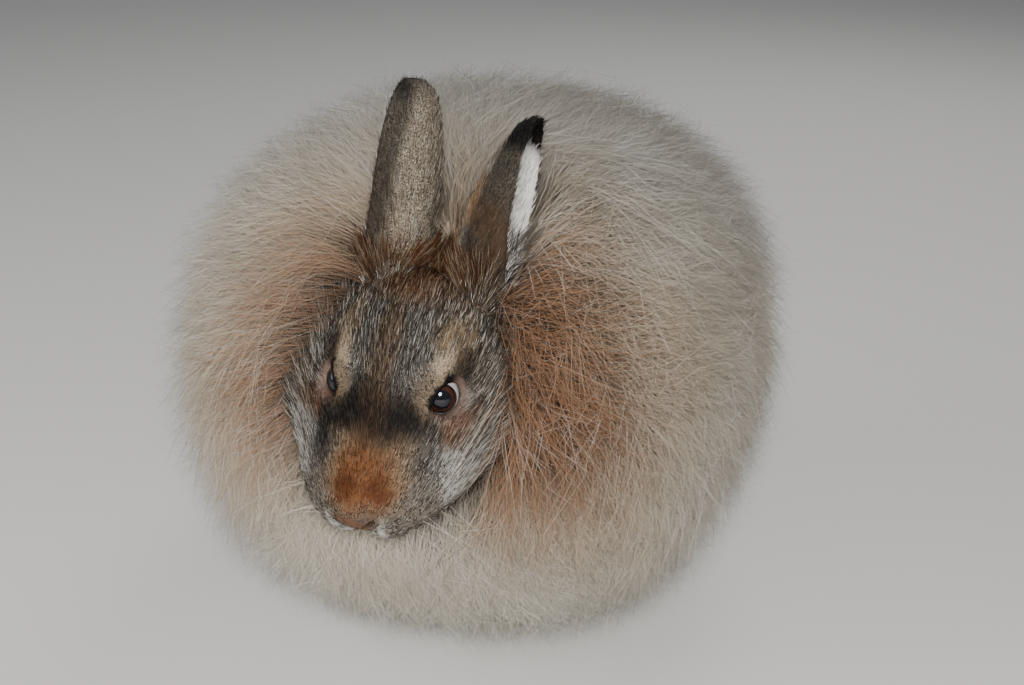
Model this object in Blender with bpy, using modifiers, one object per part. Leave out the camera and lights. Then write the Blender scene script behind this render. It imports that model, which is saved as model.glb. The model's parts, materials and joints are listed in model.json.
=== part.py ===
"""Angora rabbit in full coat, a still, life-size model.

It sits square on its feet, faces -Y with its nose low, and has its left side at +X. The origin is on the
floor under the middle of its box. All lengths are in metres.
"""

import math
import random

import bmesh
import bpy
from mathutils import Matrix, Vector

# Coat: a ball of wool that stands off the body all round
COAT_CENTRE = Vector((0.0, -0.015, 0.130))
COAT_HALF_WIDTH = 0.156
COAT_FRONT = 0.161
COAT_BACK = 0.191
COAT_UP = 0.140
COAT_DOWN = 0.142
COAT_SQUARENESS = 2.3
CORE_SHARE = 0.70
FLOOR_CLEARANCE = 0.002

# Parting: where the wool falls away from the face and the ears
PARTING_ELEVATION = math.radians(40)
PARTING_DEPTH = 0.27
PARTING_HALF_WIDTH = 0.42
PARTING_HALF_HEIGHT = 0.62

# Window kept free of locks in front of the face and the ears
FACE_WINDOW_HALF_WIDTH = 0.062
FACE_WINDOW_HALF_HEIGHT = 0.080
FACE_WINDOW_LEVEL = 0.172
FACE_WINDOW_DEPTH = -0.096

# Locks: the wool hangs in flat tapered locks, rooted in the core and bent along the lie of the coat
LOCK_COUNT = 116
LOCK_WIDTH = 0.058
LOCK_ROOT_DEPTH = 0.012
LOCK_REACH = (0.985, 1.035)
LOCK_RINGS = ((0.0, 0.80, 0.34), (0.36, 1.0, 0.30), (0.64, 0.90, 0.20), (0.85, 0.55, 0.10))
LOCK_LEAN = (math.radians(11), math.radians(20))
LOCK_SWAY = math.radians(6)
LOCK_SEED = 7

# Head: nose tip, tilt of its long axis, and its sections from nose to nape
NOSE_TIP = Vector((0.0, -0.171, 0.106))
HEAD_PITCH = math.radians(45)
HEAD_LENGTH = 0.124
HEAD_STATIONS = (0.0, 0.003, 0.010, 0.022, 0.036, 0.050, 0.064, 0.080, 0.096, 0.112, 0.124)
HEAD_TOP = (-0.003, 0.0038, 0.0062, 0.0088, 0.0122, 0.0160, 0.0200, 0.0230, 0.0215, 0.014, -0.006)
HEAD_MIDDLE = (-0.003, -0.005, -0.008, -0.010, -0.012, -0.013, -0.014, -0.014, -0.012, -0.008, -0.006)
HEAD_BOTTOM = (-0.003, -0.013, -0.022, -0.030, -0.036, -0.041, -0.045, -0.047, -0.044, -0.033, -0.006)
HEAD_HALF_WIDTH = (0.0, 0.0165, 0.0275, 0.0365, 0.0430, 0.0475, 0.0490, 0.0470, 0.0415, 0.030, 0.0)
BROW_SQUARENESS = 1.55
JAW_SQUARENESS = 2.2

# Eyes and lids, placed along the head's axis, above it and out to the side
EYE_RADIUS = 0.0095
EYE_ALONG = 0.0645
EYE_ABOVE = 0.0025
EYE_OUT = 0.0215
EYE_FORWARD_TURN = math.radians(22)
EYE_UPWARD_TURN = math.radians(34)
LID_THICKNESS = 0.0017
LID_OPENING = (0.0092, 0.0066)
LID_SLANT = math.radians(24)

# Nose and mouth
NOSTRIL = (0.0052, 0.0011, 0.0034)
NOSTRIL_OUT = 0.0056
MOUTH_DROP = 0.0105
MOUTH_HALF_WIDTH = 0.0165
LIP_GROOVE = 0.0011

# Ears: root, tip, and the way each cup opens
EAR_ROOT = Vector((0.016, -0.088, 0.170))
EAR_TIPS = {"left": Vector((0.046, -0.062, 0.262)), "right": Vector((-0.018, -0.062, 0.2755))}
EAR_OPENS = {"left": Vector((1.0, 0.06, 0.0)), "right": Vector((-0.86, 0.50, 0.0))}
EAR_SPREAD = {"left": 1.02, "right": 0.97}
EAR_ROLL = {"left": 1.38, "right": 1.0}
EAR_STATIONS = (0.0, 0.25, 0.5, 0.75, 0.9, 0.97, 1.0)
EAR_HALF_WIDTH = (0.0105, 0.0155, 0.0182, 0.0174, 0.0142, 0.0100, 0.0045)
EAR_CURL = tuple(math.radians(a) for a in (125, 100, 78, 62, 48, 40, 35))
EAR_THICKNESS = 0.0024
EAR_BEND = 0.006

# Legs: forefeet under the chest, long hind feet flat under the belly
FOREPAW = Vector((0.030, -0.048, 0.0))
FOREPAW_HALF = Vector((0.0125, 0.0215, 0.012))
FORELEG_RADIUS = 0.0125
FORELEG_TOP = Vector((0.036, -0.034, 0.062))
HINDFOOT = Vector((0.050, 0.026, 0.0))
HINDFOOT_HALF = Vector((0.0155, 0.050, 0.014))
THIGH = Vector((0.056, 0.034, 0.062))
THIGH_HALF = Vector((0.022, 0.042, 0.038))
TOE_COUNT = 4
TOE_RADIUS = 0.0052
TOE_SHAPE = (0.86, 1.7, 1.05)
SHANK_RADIUS = 0.015

# Cells that part the wool into nodes: apex, axis and half angle of each cone
NECK_CELL = (Vector((0.0, -0.025, 0.125)), Vector((0.0, -0.985, 0.17)), math.radians(52))
TAIL_CELL = (Vector((0.0, 0.055, 0.100)), Vector((0.0, 0.95, -0.31)), math.radians(21))
CELL_LENGTH = 0.26
GAP = 0.0003
ROOM_GAP = 0.0004
WELD = 0.000002


def section(name):
    collection = bpy.data.collections.new(name)
    bpy.context.scene.collection.children.link(collection)
    return collection


def curve_through(stations, values, at):
    """Smooth curve through the named sections, read at one place."""
    at = min(max(at, stations[0]), stations[-1])
    i = max(k for k in range(len(stations) - 1) if stations[k] <= at)
    span = stations[i + 1] - stations[i]
    t = (at - stations[i]) / span
    slope = [0.0, 0.0]
    for side in (0, 1):
        low = max(i + side - 1, 0)
        high = min(i + side + 1, len(stations) - 1)
        slope[side] = (values[high] - values[low]) / (stations[high] - stations[low]) * span
    rise = values[i + 1] - values[i]
    cubic = t * slope[0] + t * t * (3 * rise - 2 * slope[0] - slope[1])
    return values[i] + cubic + t**3 * (slope[0] + slope[1] - 2 * rise)


def rounded(value, squareness):
    return math.copysign(abs(value) ** (2 / squareness), value)


def material(name, colour, roughness):
    made = bpy.data.materials.new(name)
    made.use_nodes = True
    shader = made.node_tree.nodes["Principled BSDF"]
    shader.inputs["Base Color"].default_value = (*colour, 1.0)
    shader.inputs["Roughness"].default_value = roughness
    shader.inputs["Metallic"].default_value = 0.0
    return made


def add_object(name, mesh, collection):
    obj = bpy.data.objects.new(name, mesh)
    obj.display_type = "WIRE" if collection == cutters else "TEXTURED"
    collection.objects.link(obj)
    return obj


def object_from(name, form, collection):
    """Turns a closed bmesh into an object, with its faces pointing out, and frees the bmesh."""
    bmesh.ops.recalc_face_normals(form, faces=form.faces)
    if form.calc_volume(signed=True) < 0:
        bmesh.ops.reverse_faces(form, faces=form.faces)
    mesh = bpy.data.meshes.new(name)
    form.to_mesh(mesh)
    form.free()
    return add_object(name, mesh, collection)


def settle(obj):
    """Applies an object's modifiers."""
    bpy.context.view_layer.update()
    graph = bpy.context.evaluated_depsgraph_get()
    mesh = bpy.data.meshes.new_from_object(obj.evaluated_get(graph))
    obj.modifiers.clear()
    obj.data = mesh
    return obj


def boolean(obj, operation, others, solver="MANIFOLD"):
    """Joins or cuts an object with the closed meshes in a list, and removes them."""
    group = section(obj.name + "_tools")
    for other in others:
        for home in tuple(other.users_collection):
            home.objects.unlink(other)
        group.objects.link(other)
    step = obj.modifiers.new(operation.title(), "BOOLEAN")
    step.operation = operation
    step.operand_type = "COLLECTION"
    step.collection = group
    step.solver = solver
    settle(obj)
    for other in others:
        bpy.data.objects.remove(other)
    bpy.data.collections.remove(group)
    return obj


def copy_of(obj, grow=0.0):
    """A copy in the cutters' collection, its faces moved out along their normals by grow."""
    mesh = obj.data.copy()
    for vertex, normal in zip(mesh.vertices, [v.normal.copy() for v in mesh.vertices]):
        vertex.co += normal * grow
    return add_object(obj.name + "_copy", mesh, cutters)


def keep_largest(obj):
    """Keeps an object's largest closed surface and drops the loose scraps."""
    form = bmesh.new()
    form.from_mesh(obj.data)
    bmesh.ops.triangulate(form, faces=form.faces)
    bmesh.ops.remove_doubles(form, verts=form.verts, dist=WELD)
    left = set(form.faces)
    islands = []
    while left:
        island = [left.pop()]
        for face in island:
            for edge in (edge for edge in face.edges if edge.is_manifold):
                for beside in edge.link_faces:
                    if beside in left:
                        left.discard(beside)
                        island.append(beside)
        islands.append(island)
    largest = max(islands, key=len)
    scraps = [face for island in islands if island is not largest for face in island]
    bmesh.ops.delete(form, geom=scraps, context="FACES")
    form.to_mesh(obj.data)
    form.free()


def ellipsoid(name, centre, half, collection, turn=None, segments=16, rings=10):
    """A closed egg form with the given half sizes."""
    form = bmesh.new()
    bmesh.ops.create_uvsphere(form, u_segments=segments, v_segments=rings, radius=1.0)
    bmesh.ops.scale(form, vec=half, verts=form.verts)
    place = Matrix.Translation(centre) @ (turn or Matrix()).to_4x4()
    bmesh.ops.transform(form, matrix=place, verts=form.verts)
    return object_from(name, form, collection)


def slab_under(level):
    """A block that reaches up to a level, to cut what hangs below it."""
    form = bmesh.new()
    bmesh.ops.create_cube(form, size=1.0)
    bmesh.ops.translate(form, vec=(0, 0, level - 0.5), verts=form.verts)
    return object_from("slab", form, cutters)


def cone_cell(cell, grow):
    """The cone that holds one node of wool."""
    apex, axis, half_angle = cell
    form = bmesh.new()
    bmesh.ops.create_cone(
        form,
        cap_ends=True,
        segments=36,
        radius1=0.0,
        radius2=CELL_LENGTH * math.tan(half_angle),
        depth=CELL_LENGTH,
    )
    bmesh.ops.remove_doubles(form, verts=form.verts, dist=1e-6)
    bmesh.ops.translate(form, vec=(0, 0, CELL_LENGTH / 2), verts=form.verts)
    turn = axis.to_track_quat("Z", "Y").to_matrix().to_4x4()
    start = apex - axis.normalized() * grow / math.sin(half_angle)
    bmesh.ops.transform(form, matrix=Matrix.Translation(start) @ turn, verts=form.verts)
    return object_from("cell", form, cutters)


# Wool


PARTING_AXIS = Vector((0.0, -math.cos(PARTING_ELEVATION), math.sin(PARTING_ELEVATION)))
PARTING_RISE = Vector((0.0, math.sin(PARTING_ELEVATION), math.cos(PARTING_ELEVATION)))


def coat_reach(direction):
    """Distance from the coat's centre to its tips, in a direction."""
    x = abs(direction.x) / COAT_HALF_WIDTH
    y = abs(direction.y) / (COAT_FRONT if direction.y < 0 else COAT_BACK)
    z = abs(direction.z) / (COAT_UP if direction.z > 0 else COAT_DOWN)
    power = COAT_SQUARENESS
    ball = (x**power + y**power + z**power) ** (-1 / power)
    ahead = max(direction.dot(PARTING_AXIS), 0.0) ** 0.5
    across = direction.x / PARTING_HALF_WIDTH
    along = direction.dot(PARTING_RISE) / PARTING_HALF_HEIGHT
    return ball * (1 - PARTING_DEPTH * ahead * math.exp(-across * across - along * along))


def in_front_of_face(point):
    across = point.x / FACE_WINDOW_HALF_WIDTH
    along = (point.z - FACE_WINDOW_LEVEL) / FACE_WINDOW_HALF_HEIGHT
    return across * across + along * along < 1 and point.y < FACE_WINDOW_DEPTH


def lock(index, draw):
    """One flat lock from its root in the core to its tip, or None where it would hide the face."""
    height = 1 - 2 * (index + 0.5) / LOCK_COUNT
    turn = index * math.pi * (3 - math.sqrt(5))
    flat = math.sqrt(1 - height * height)
    root = Vector((flat * math.cos(turn), flat * math.sin(turn), height))
    lie = -PARTING_AXIS + root * root.dot(PARTING_AXIS)
    lie.normalize()
    aside = root.cross(lie)
    lean = draw.uniform(*LOCK_LEAN)
    sway = draw.uniform(-LOCK_SWAY, LOCK_SWAY)
    tip = (root + lie * math.tan(lean) + aside * math.tan(sway)).normalized()
    width = LOCK_WIDTH * draw.uniform(0.85, 1.15)
    length = draw.uniform(*LOCK_REACH)
    start = coat_reach(root) * CORE_SHARE - LOCK_ROOT_DEPTH
    end = coat_reach(tip) * length

    def centre(t):
        direction = root.slerp(tip, t**1.5)
        return COAT_CENTRE + direction * (start + (end - start) * t)

    if any(in_front_of_face(centre(t)) for t in (0.5, 0.75, 1.0)):
        return None
    form = bmesh.new()
    rings = []
    for t, broad, thick in LOCK_RINGS:
        ahead = (centre(t + 0.02) - centre(t)).normalized()
        side = aside - ahead * aside.dot(ahead)
        side.normalize()
        out = ahead.cross(side)
        half = width * broad / 2
        deep = width * thick / 2
        corners = (side * half, out * deep, side * -half, out * -deep)
        rings.append([form.verts.new(centre(t) + corner) for corner in corners])
    point = form.verts.new(centre(1.0))
    form.faces.new(rings[0])
    for low, high in zip(rings, rings[1:]):
        for k in range(4):
            form.faces.new((low[k], low[(k + 1) % 4], high[(k + 1) % 4], high[k]))
    for k in range(4):
        form.faces.new((rings[-1][k], rings[-1][(k + 1) % 4], point))
    bmesh.ops.triangulate(form, faces=form.faces)
    return object_from(f"lock_{index}", form, cutters)


def make_wool():
    """The whole coat as one closed body: its core and every lock."""
    form = bmesh.new()
    bmesh.ops.create_icosphere(form, subdivisions=2, radius=1.0)
    for vertex in form.verts:
        direction = vertex.co.normalized()
        vertex.co = COAT_CENTRE + direction * coat_reach(direction) * CORE_SHARE
    wool = object_from("wool", form, cutters)
    draw = random.Random(LOCK_SEED)
    locks = [lock(index, draw) for index in range(LOCK_COUNT)]
    boolean(wool, "UNION", [made for made in locks if made])
    return boolean(wool, "DIFFERENCE", [slab_under(FLOOR_CLEARANCE)])


# Head


def head_place(along, above, out):
    """A point of the head, from its place along the axis, above it and out to the side."""
    axis = Vector((0.0, math.cos(HEAD_PITCH), math.sin(HEAD_PITCH)))
    rise = Vector((0.0, -math.sin(HEAD_PITCH), math.cos(HEAD_PITCH)))
    return NOSE_TIP + axis * along + rise * above + Vector((out, 0.0, 0.0))


def head_turn():
    """Turns a form made with X out, Y back along the axis and Z above it."""
    return Matrix.Rotation(HEAD_PITCH, 4, "X")


def make_head_form():
    form = bmesh.new()
    bmesh.ops.create_uvsphere(form, u_segments=28, v_segments=20, radius=1.0)
    for vertex in form.verts:
        ball = vertex.co
        along = HEAD_LENGTH * (1 - max(-1.0, min(1.0, ball.z))) / 2
        level = math.hypot(ball.x, ball.y) or 1.0
        out, up = ball.x / level, ball.y / level
        if math.hypot(ball.x, ball.y) < 1e-6:
            out = up = 0.0
        squareness = BROW_SQUARENESS if up > 0 else JAW_SQUARENESS
        middle = curve_through(HEAD_STATIONS, HEAD_MIDDLE, along)
        edge = curve_through(HEAD_STATIONS, HEAD_TOP if up > 0 else HEAD_BOTTOM, along)
        half_width = curve_through(HEAD_STATIONS, HEAD_HALF_WIDTH, along)
        above = middle + abs(edge - middle) * rounded(up, squareness)
        vertex.co = head_place(along, above, half_width * rounded(out, squareness))
    return object_from("head", form, rabbit)


def eye_place(side):
    return head_place(EYE_ALONG, EYE_ABOVE, side * EYE_OUT)


def eye_turn(side):
    """Turns a form made with Z out of the eye and X along the lids."""
    look = Matrix.Rotation(side * (math.pi / 2 - EYE_FORWARD_TURN), 4, "Y")
    flat = Matrix.Rotation(math.pi / 2, 4, "X")
    slant = Matrix.Rotation(side * LID_SLANT, 4, "Z")
    lift = Matrix.Rotation(-side * EYE_UPWARD_TURN, 4, "Y")
    return head_turn() @ lift @ flat @ look @ slant


def lid_forms(grow=0.0):
    size = (EYE_RADIUS + GAP + LID_THICKNESS + grow,) * 3
    return [ellipsoid("lid", eye_place(side), size, cutters, segments=18, rings=12) for side in (-1, 1)]


def make_head():
    head = make_head_form()
    bare = copy_of(head)
    lids = lid_forms()
    sockets = []
    for side in (-1, 1):
        reach = EYE_RADIUS + GAP
        sockets.append(
            ellipsoid("socket", eye_place(side), (reach,) * 3, cutters, segments=18, rings=12)
        )
        form = bmesh.new()
        bmesh.ops.create_cone(
            form, cap_ends=True, segments=24, radius1=0.75, radius2=1.15, depth=1.0
        )
        half = (LID_OPENING[0], LID_OPENING[1], 2 * EYE_RADIUS)
        bmesh.ops.scale(form, vec=half, verts=form.verts)
        bmesh.ops.translate(form, vec=(0, 0, 1.2 * EYE_RADIUS), verts=form.verts)
        place = Matrix.Translation(eye_place(side)) @ eye_turn(side)
        bmesh.ops.transform(form, matrix=place, verts=form.verts)
        sockets.append(object_from("lid_opening", form, cutters))
    boolean(head, "UNION", lids)
    boolean(head, "DIFFERENCE", sockets)
    grooves = []
    for side in (-1, 1):
        turn = head_turn() @ Matrix.Rotation(side * math.radians(-38), 4, "Y")
        place = head_place(0.0012, -0.0008, side * NOSTRIL_OUT)
        size = (NOSTRIL[0], NOSTRIL[2], NOSTRIL[1])
        grooves.append(ellipsoid("nostril", place, size, cutters, turn, 10, 6))
    size = (LIP_GROOVE / 2, 0.0042, 0.0050)
    grooves.append(
        ellipsoid("philtrum", head_place(0.0008, -0.0075, 0), size, cutters, head_turn(), 10, 6)
    )
    size = (MOUTH_HALF_WIDTH, 0.0150, LIP_GROOVE / 2)
    turn = head_turn() @ Matrix.Rotation(math.radians(-16), 4, "X")
    grooves.append(
        ellipsoid("mouth", head_place(0.0140, -MOUTH_DROP, 0), size, cutters, turn, 20, 8)
    )
    boolean(head, "DIFFERENCE", grooves)
    keep_largest(head)
    return head, bare


def make_eye(side, name):
    eye = ellipsoid(name, eye_place(side), (EYE_RADIUS,) * 3, rabbit, segments=16, rings=12)
    return eye


# Ears


def ear_frame(name):
    side = 1 if name == "left" else -1
    root = Vector((side * EAR_ROOT.x, EAR_ROOT.y, EAR_ROOT.z))
    tip = EAR_TIPS[name]
    up = (tip - root).normalized()
    opens = EAR_OPENS[name]
    opens = (opens - up * opens.dot(up)).normalized()
    return root, tip, opens, up.cross(opens)


def ear_centre(name, t):
    root, tip, opens, _ = ear_frame(name)
    return root.lerp(tip, t) - opens * EAR_BEND * math.sin(math.pi * t)


def make_ear(name):
    """A leaf rolled to a tube at its root and open like a scoop above."""
    across, up = 8, 12
    form = bmesh.new()
    bmesh.ops.create_grid(form, x_segments=across, y_segments=up, size=1.0)
    _, _, opens, wide = ear_frame(name)
    for vertex in form.verts:
        place = vertex.co.x
        t = 1 - (1 - (vertex.co.y + 1) / 2) ** 1.25
        half = curve_through(EAR_STATIONS, EAR_HALF_WIDTH, t) * EAR_SPREAD[name]
        curl = curve_through(EAR_STATIONS, EAR_CURL, t) * EAR_ROLL[name]
        radius = half / math.sin(min(curl, math.pi / 2))
        angle = place * curl
        back = radius * (math.cos(angle) - 0.5)
        vertex.co = ear_centre(name, t) + wide * radius * math.sin(angle) - opens * back
    bmesh.ops.triangulate(form, faces=form.faces)
    ear = object_from("ear_" + name, form, rabbit)
    shell = ear.modifiers.new("Thickness", "SOLIDIFY")
    shell.thickness = EAR_THICKNESS
    shell.offset = 0.0
    shell.use_even_offset = False
    return settle(ear)


def make_ear_room(name):
    """The closed form that keeps the wool clear of an ear and of its cup."""
    form = bmesh.new()
    bmesh.ops.create_uvsphere(form, u_segments=16, v_segments=12, radius=1.0)
    _, _, opens, wide = ear_frame(name)
    for vertex in form.verts:
        ball = vertex.co.copy()
        t = (1 + ball.z) / 2 * 1.16 - 0.12
        inside = min(max(t, 0.0), 1.0)
        half = curve_through(EAR_STATIONS, EAR_HALF_WIDTH, inside) * EAR_SPREAD[name]
        level = math.hypot(ball.x, ball.y)
        swell = (half + 2.8 * EAR_THICKNESS) * min(1.0, 1.9 * level) / max(level, 1e-6)
        centre = ear_centre(name, t) + opens * half * (EAR_ROLL[name] - 1)
        vertex.co = centre + wide * ball.x * swell + opens * ball.y * swell
    return object_from("ear_room", form, cutters)


# Legs


def capsule(start, end, radius):
    """A round limb between two points."""
    turn = (end - start).to_track_quat("Z", "Y").to_matrix()
    half = (radius, radius, (end - start).length / 2 + radius)
    return ellipsoid("limb", (start + end) / 2, half, cutters, turn, 10, 8)


def foot_forms(foot, half, side, grow):
    """The sole and the toes of one foot."""
    size = half + Vector((grow, grow, grow))
    centre = Vector((side * foot.x, foot.y, half.z * 0.8))
    forms = [ellipsoid("sole", centre, size, cutters, segments=14, rings=8)]
    for k in range(TOE_COUNT):
        spread = (k - (TOE_COUNT - 1) / 2) / TOE_COUNT * 2
        ahead = foot.y - half.y * (0.92 - 0.16 * spread * spread)
        place = Vector((side * foot.x + spread * half.x * 0.95, ahead, TOE_RADIUS * 0.9))
        size = Vector(TOE_SHAPE) * TOE_RADIUS + Vector((grow, grow, grow))
        forms.append(ellipsoid("toe", place, size, cutters, segments=7, rings=5))
    return forms


def foreleg_forms(side, grow=0.0):
    wrist = Vector((side * FOREPAW.x, FOREPAW.y + 0.012, 0.012))
    elbow = Vector((side * FORELEG_TOP.x, FORELEG_TOP.y, FORELEG_TOP.z))
    forearm = capsule(wrist, elbow, FORELEG_RADIUS + grow)
    return foot_forms(FOREPAW, FOREPAW_HALF, side, grow) + [forearm]


def hindleg_forms(side, grow=0.0):
    centre = Vector((side * THIGH.x, THIGH.y, THIGH.z))
    heel = Vector((side * HINDFOOT.x, HINDFOOT.y + 0.034, 0.014))
    size = THIGH_HALF + Vector((grow, grow, grow))
    thigh = ellipsoid("thigh", centre, size, cutters, segments=12, rings=8)
    shank = capsule(heel, centre, SHANK_RADIUS + grow)
    return foot_forms(HINDFOOT, HINDFOOT_HALF, side, grow) + [thigh, shank]


def make_leg(name, forms):
    """Joins a leg's forms and cuts its sole flat at the floor."""
    leg = forms[0]
    leg.name = name
    boolean(leg, "UNION", forms[1:])
    boolean(leg, "DIFFERENCE", [slab_under(0.0)])
    keep_largest(leg)
    cutters.objects.unlink(leg)
    rabbit.objects.link(leg)
    return leg


# Nodes


def stand_on_origin():
    """Moves every node so that the middle of the whole box is over the origin."""
    spots = [vertex.co for obj in rabbit.objects for vertex in obj.data.vertices]
    low = Vector([min(spot[axis] for spot in spots) for axis in range(2)] + [0.0])
    high = Vector([max(spot[axis] for spot in spots) for axis in range(2)] + [0.0])
    for obj in rabbit.objects:
        obj.data.transform(Matrix.Translation((low + high) / -2))


def wool_node(name, wool, cell, keep, clear, colour):
    """One node of wool: the coat inside or outside some cells, cut clear of what it holds."""
    node = copy_of(wool)
    cutters.objects.unlink(node)
    rabbit.objects.link(node)
    node.name = name
    if keep:
        boolean(node, "INTERSECT", [cone_cell(cell[0], 0.0)])
    else:
        boolean(node, "DIFFERENCE", [cone_cell(part, GAP) for part in cell])
    boolean(node, "DIFFERENCE", clear())
    keep_largest(node)
    node.data.materials.append(material(name + "_wool", colour, 0.9))
    return node


for old in tuple(bpy.data.objects):
    bpy.data.objects.remove(old)
rabbit = section("angora_rabbit")
cutters = section("cutters")
cutters.hide_render = True

head, bare_head = make_head()
ears = {name: make_ear(name) for name in ("left", "right")}
for ear in ears.values():
    boolean(ear, "DIFFERENCE", [copy_of(bare_head, GAP)])
    keep_largest(ear)
eyes = [make_eye(1, "eye_left"), make_eye(-1, "eye_right")]
legs = [
    make_leg("foreleg_left", foreleg_forms(1)),
    make_leg("foreleg_right", foreleg_forms(-1)),
    make_leg("hindleg_left", hindleg_forms(1)),
    make_leg("hindleg_right", hindleg_forms(-1)),
]


def clear_of_all():
    """The forms that the wool is cut clear of, each grown by the gap."""
    rooms = [make_ear_room(name) for name in ("left", "right")]
    rooms += lid_forms(GAP) + [copy_of(bare_head, GAP)]
    for side in (-1, 1):
        rooms += foreleg_forms(side, ROOM_GAP) + hindleg_forms(side, ROOM_GAP)
    return rooms


wool = make_wool()
wool_node("neck", wool, [NECK_CELL], True, clear_of_all, (0.50, 0.36, 0.24))
wool_node("tail", wool, [TAIL_CELL], True, clear_of_all, (0.44, 0.38, 0.31))
wool_node("torso", wool, [NECK_CELL, TAIL_CELL], False, clear_of_all, (0.44, 0.38, 0.31))
bpy.data.objects.remove(wool)
bpy.data.objects.remove(bare_head)

head.data.materials.append(material("face_fur", (0.24, 0.17, 0.11), 0.8))
for ear in ears.values():
    ear.data.materials.append(material("ear_fur", (0.28, 0.21, 0.15), 0.8))
for eye in eyes:
    eye.data.materials.append(material("eye_gloss", (0.05, 0.02, 0.015), 0.1))
for leg in legs:
    leg.data.materials.append(material("leg_fur", (0.45, 0.38, 0.30), 0.9))
for made in (head, *eyes, *legs, *ears.values()):
    made.data.shade_smooth()
stand_on_origin()
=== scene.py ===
"""The looks of a still, life-size angora rabbit: its skin, eyes, wool and short fur. Lengths are in metres."""

import json
import math

import bmesh
import bpy
import numpy as np
from mathutils import Matrix, Vector, kdtree

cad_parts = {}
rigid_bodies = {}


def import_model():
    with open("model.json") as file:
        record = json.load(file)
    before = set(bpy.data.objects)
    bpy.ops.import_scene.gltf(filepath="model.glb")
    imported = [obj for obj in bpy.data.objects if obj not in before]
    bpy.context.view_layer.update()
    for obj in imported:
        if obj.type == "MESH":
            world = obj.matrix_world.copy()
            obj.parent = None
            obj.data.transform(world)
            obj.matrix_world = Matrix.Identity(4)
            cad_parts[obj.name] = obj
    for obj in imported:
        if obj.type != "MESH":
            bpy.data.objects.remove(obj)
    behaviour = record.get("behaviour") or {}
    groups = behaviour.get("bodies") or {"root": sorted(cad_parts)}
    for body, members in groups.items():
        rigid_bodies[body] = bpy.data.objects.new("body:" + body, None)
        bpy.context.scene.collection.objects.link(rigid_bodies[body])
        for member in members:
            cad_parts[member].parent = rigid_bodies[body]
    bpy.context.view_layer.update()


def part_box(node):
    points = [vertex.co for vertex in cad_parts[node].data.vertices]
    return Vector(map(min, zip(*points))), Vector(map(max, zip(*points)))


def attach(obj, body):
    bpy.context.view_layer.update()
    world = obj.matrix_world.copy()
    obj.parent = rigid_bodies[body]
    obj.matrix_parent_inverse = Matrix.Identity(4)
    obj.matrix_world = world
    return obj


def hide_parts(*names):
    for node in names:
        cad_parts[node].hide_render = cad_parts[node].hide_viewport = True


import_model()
for spare in [obj for obj in bpy.data.objects if obj.name in ("Cube", "Camera", "Light")]:
    bpy.data.objects.remove(spare)


# Place of the head
# The rabbit holds its nose low, with the long axis of its head tilted at 45 degrees. The head's sizes run from
# nose to nape along that axis, and every other piece of the head is placed along it, above it and out to the side.
HEAD_PITCH = math.radians(45)
HEAD_AXIS = np.array((0.0, math.cos(HEAD_PITCH), math.sin(HEAD_PITCH)))
HEAD_RISE = np.array((0.0, -math.sin(HEAD_PITCH), math.cos(HEAD_PITCH)))
EYE_RADIUS = 0.0095
EYE_ALONG, EYE_ABOVE, EYE_OUT = 0.0645, 0.0025, 0.0215
eye_low, eye_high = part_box("eye_left")
eye_middle = np.array((eye_low + eye_high) / 2)
nose_tip = eye_middle - HEAD_AXIS * EYE_ALONG - HEAD_RISE * EYE_ABOVE - np.array((EYE_OUT, 0.0, 0.0))
BODY_FROM_NOSE = np.array((0.0, 0.171, -0.106))
body_origin = nose_tip + BODY_FROM_NOSE


def head_place(along, above, out):
    """Points of the head, from arrays of their places along its axis, above it and out to the side."""
    along, above, out = np.broadcast_arrays(along, above, out)
    side = np.array((1.0, 0.0, 0.0))
    return nose_tip + along[..., None] * HEAD_AXIS + above[..., None] * HEAD_RISE + out[..., None] * side


def head_measures(points):
    """The reverse of head_place: how far points lie along the head, above it and out to the side."""
    apart = points - nose_tip
    return apart @ HEAD_AXIS, apart @ HEAD_RISE, apart[..., 0]


def smooth_curve(stations, values, at):
    """A smooth curve through the named sections, read at an array of places."""
    stations, values = np.array(stations), np.array(values)
    last = len(stations) - 1
    at = np.clip(at, stations[0], stations[last])
    i = np.clip(np.searchsorted(stations, at, side="right") - 1, 0, last - 1)
    span = stations[i + 1] - stations[i]
    t = (at - stations[i]) / span
    slopes = []
    for middle in (i, i + 1):
        low, high = np.maximum(middle - 1, 0), np.minimum(middle + 1, last)
        slopes.append((values[high] - values[low]) / (stations[high] - stations[low]) * span)
    rise = values[i + 1] - values[i]
    cubic = t * slopes[0] + t * t * (3 * rise - 2 * slopes[0] - slopes[1])
    return values[i] + cubic + t**3 * (slopes[0] + slopes[1] - 2 * rise)


def soft_step(low, high, value):
    """0 below low, 1 above high, and a smooth rise between them."""
    t = np.clip((value - low) / (high - low), 0.0, 1.0)
    return t * t * (3 - 2 * t)


def unit(vectors):
    return vectors / np.maximum(np.linalg.norm(vectors, axis=-1, keepdims=True), 1e-9)


# Skin
# One hide covers head, ears, body and legs, with no seam. It carries the lids, nostrils and lips, and lies inside
# the fur by the fur's own depth. The wool hides it on the body, where it stops at the roots of the wool.
COAT_CENTRE = np.array((0.0, -0.015, 0.130))
COAT_HALF_WIDTH = 0.156
COAT_FRONT, COAT_BACK = 0.161, 0.191
COAT_UP, COAT_DOWN = 0.140, 0.142
COAT_SQUARENESS = 2.3
SKIN_SHARE = 0.685
PARTING_ELEVATION = math.radians(40)
PARTING_AXIS = np.array((0.0, -math.cos(PARTING_ELEVATION), math.sin(PARTING_ELEVATION)))
PARTING_RISE = np.array((0.0, math.sin(PARTING_ELEVATION), math.cos(PARTING_ELEVATION)))
PARTING_DEPTH, PARTING_HALF_WIDTH, PARTING_HALF_HEIGHT = 0.27, 0.42, 0.62

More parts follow.
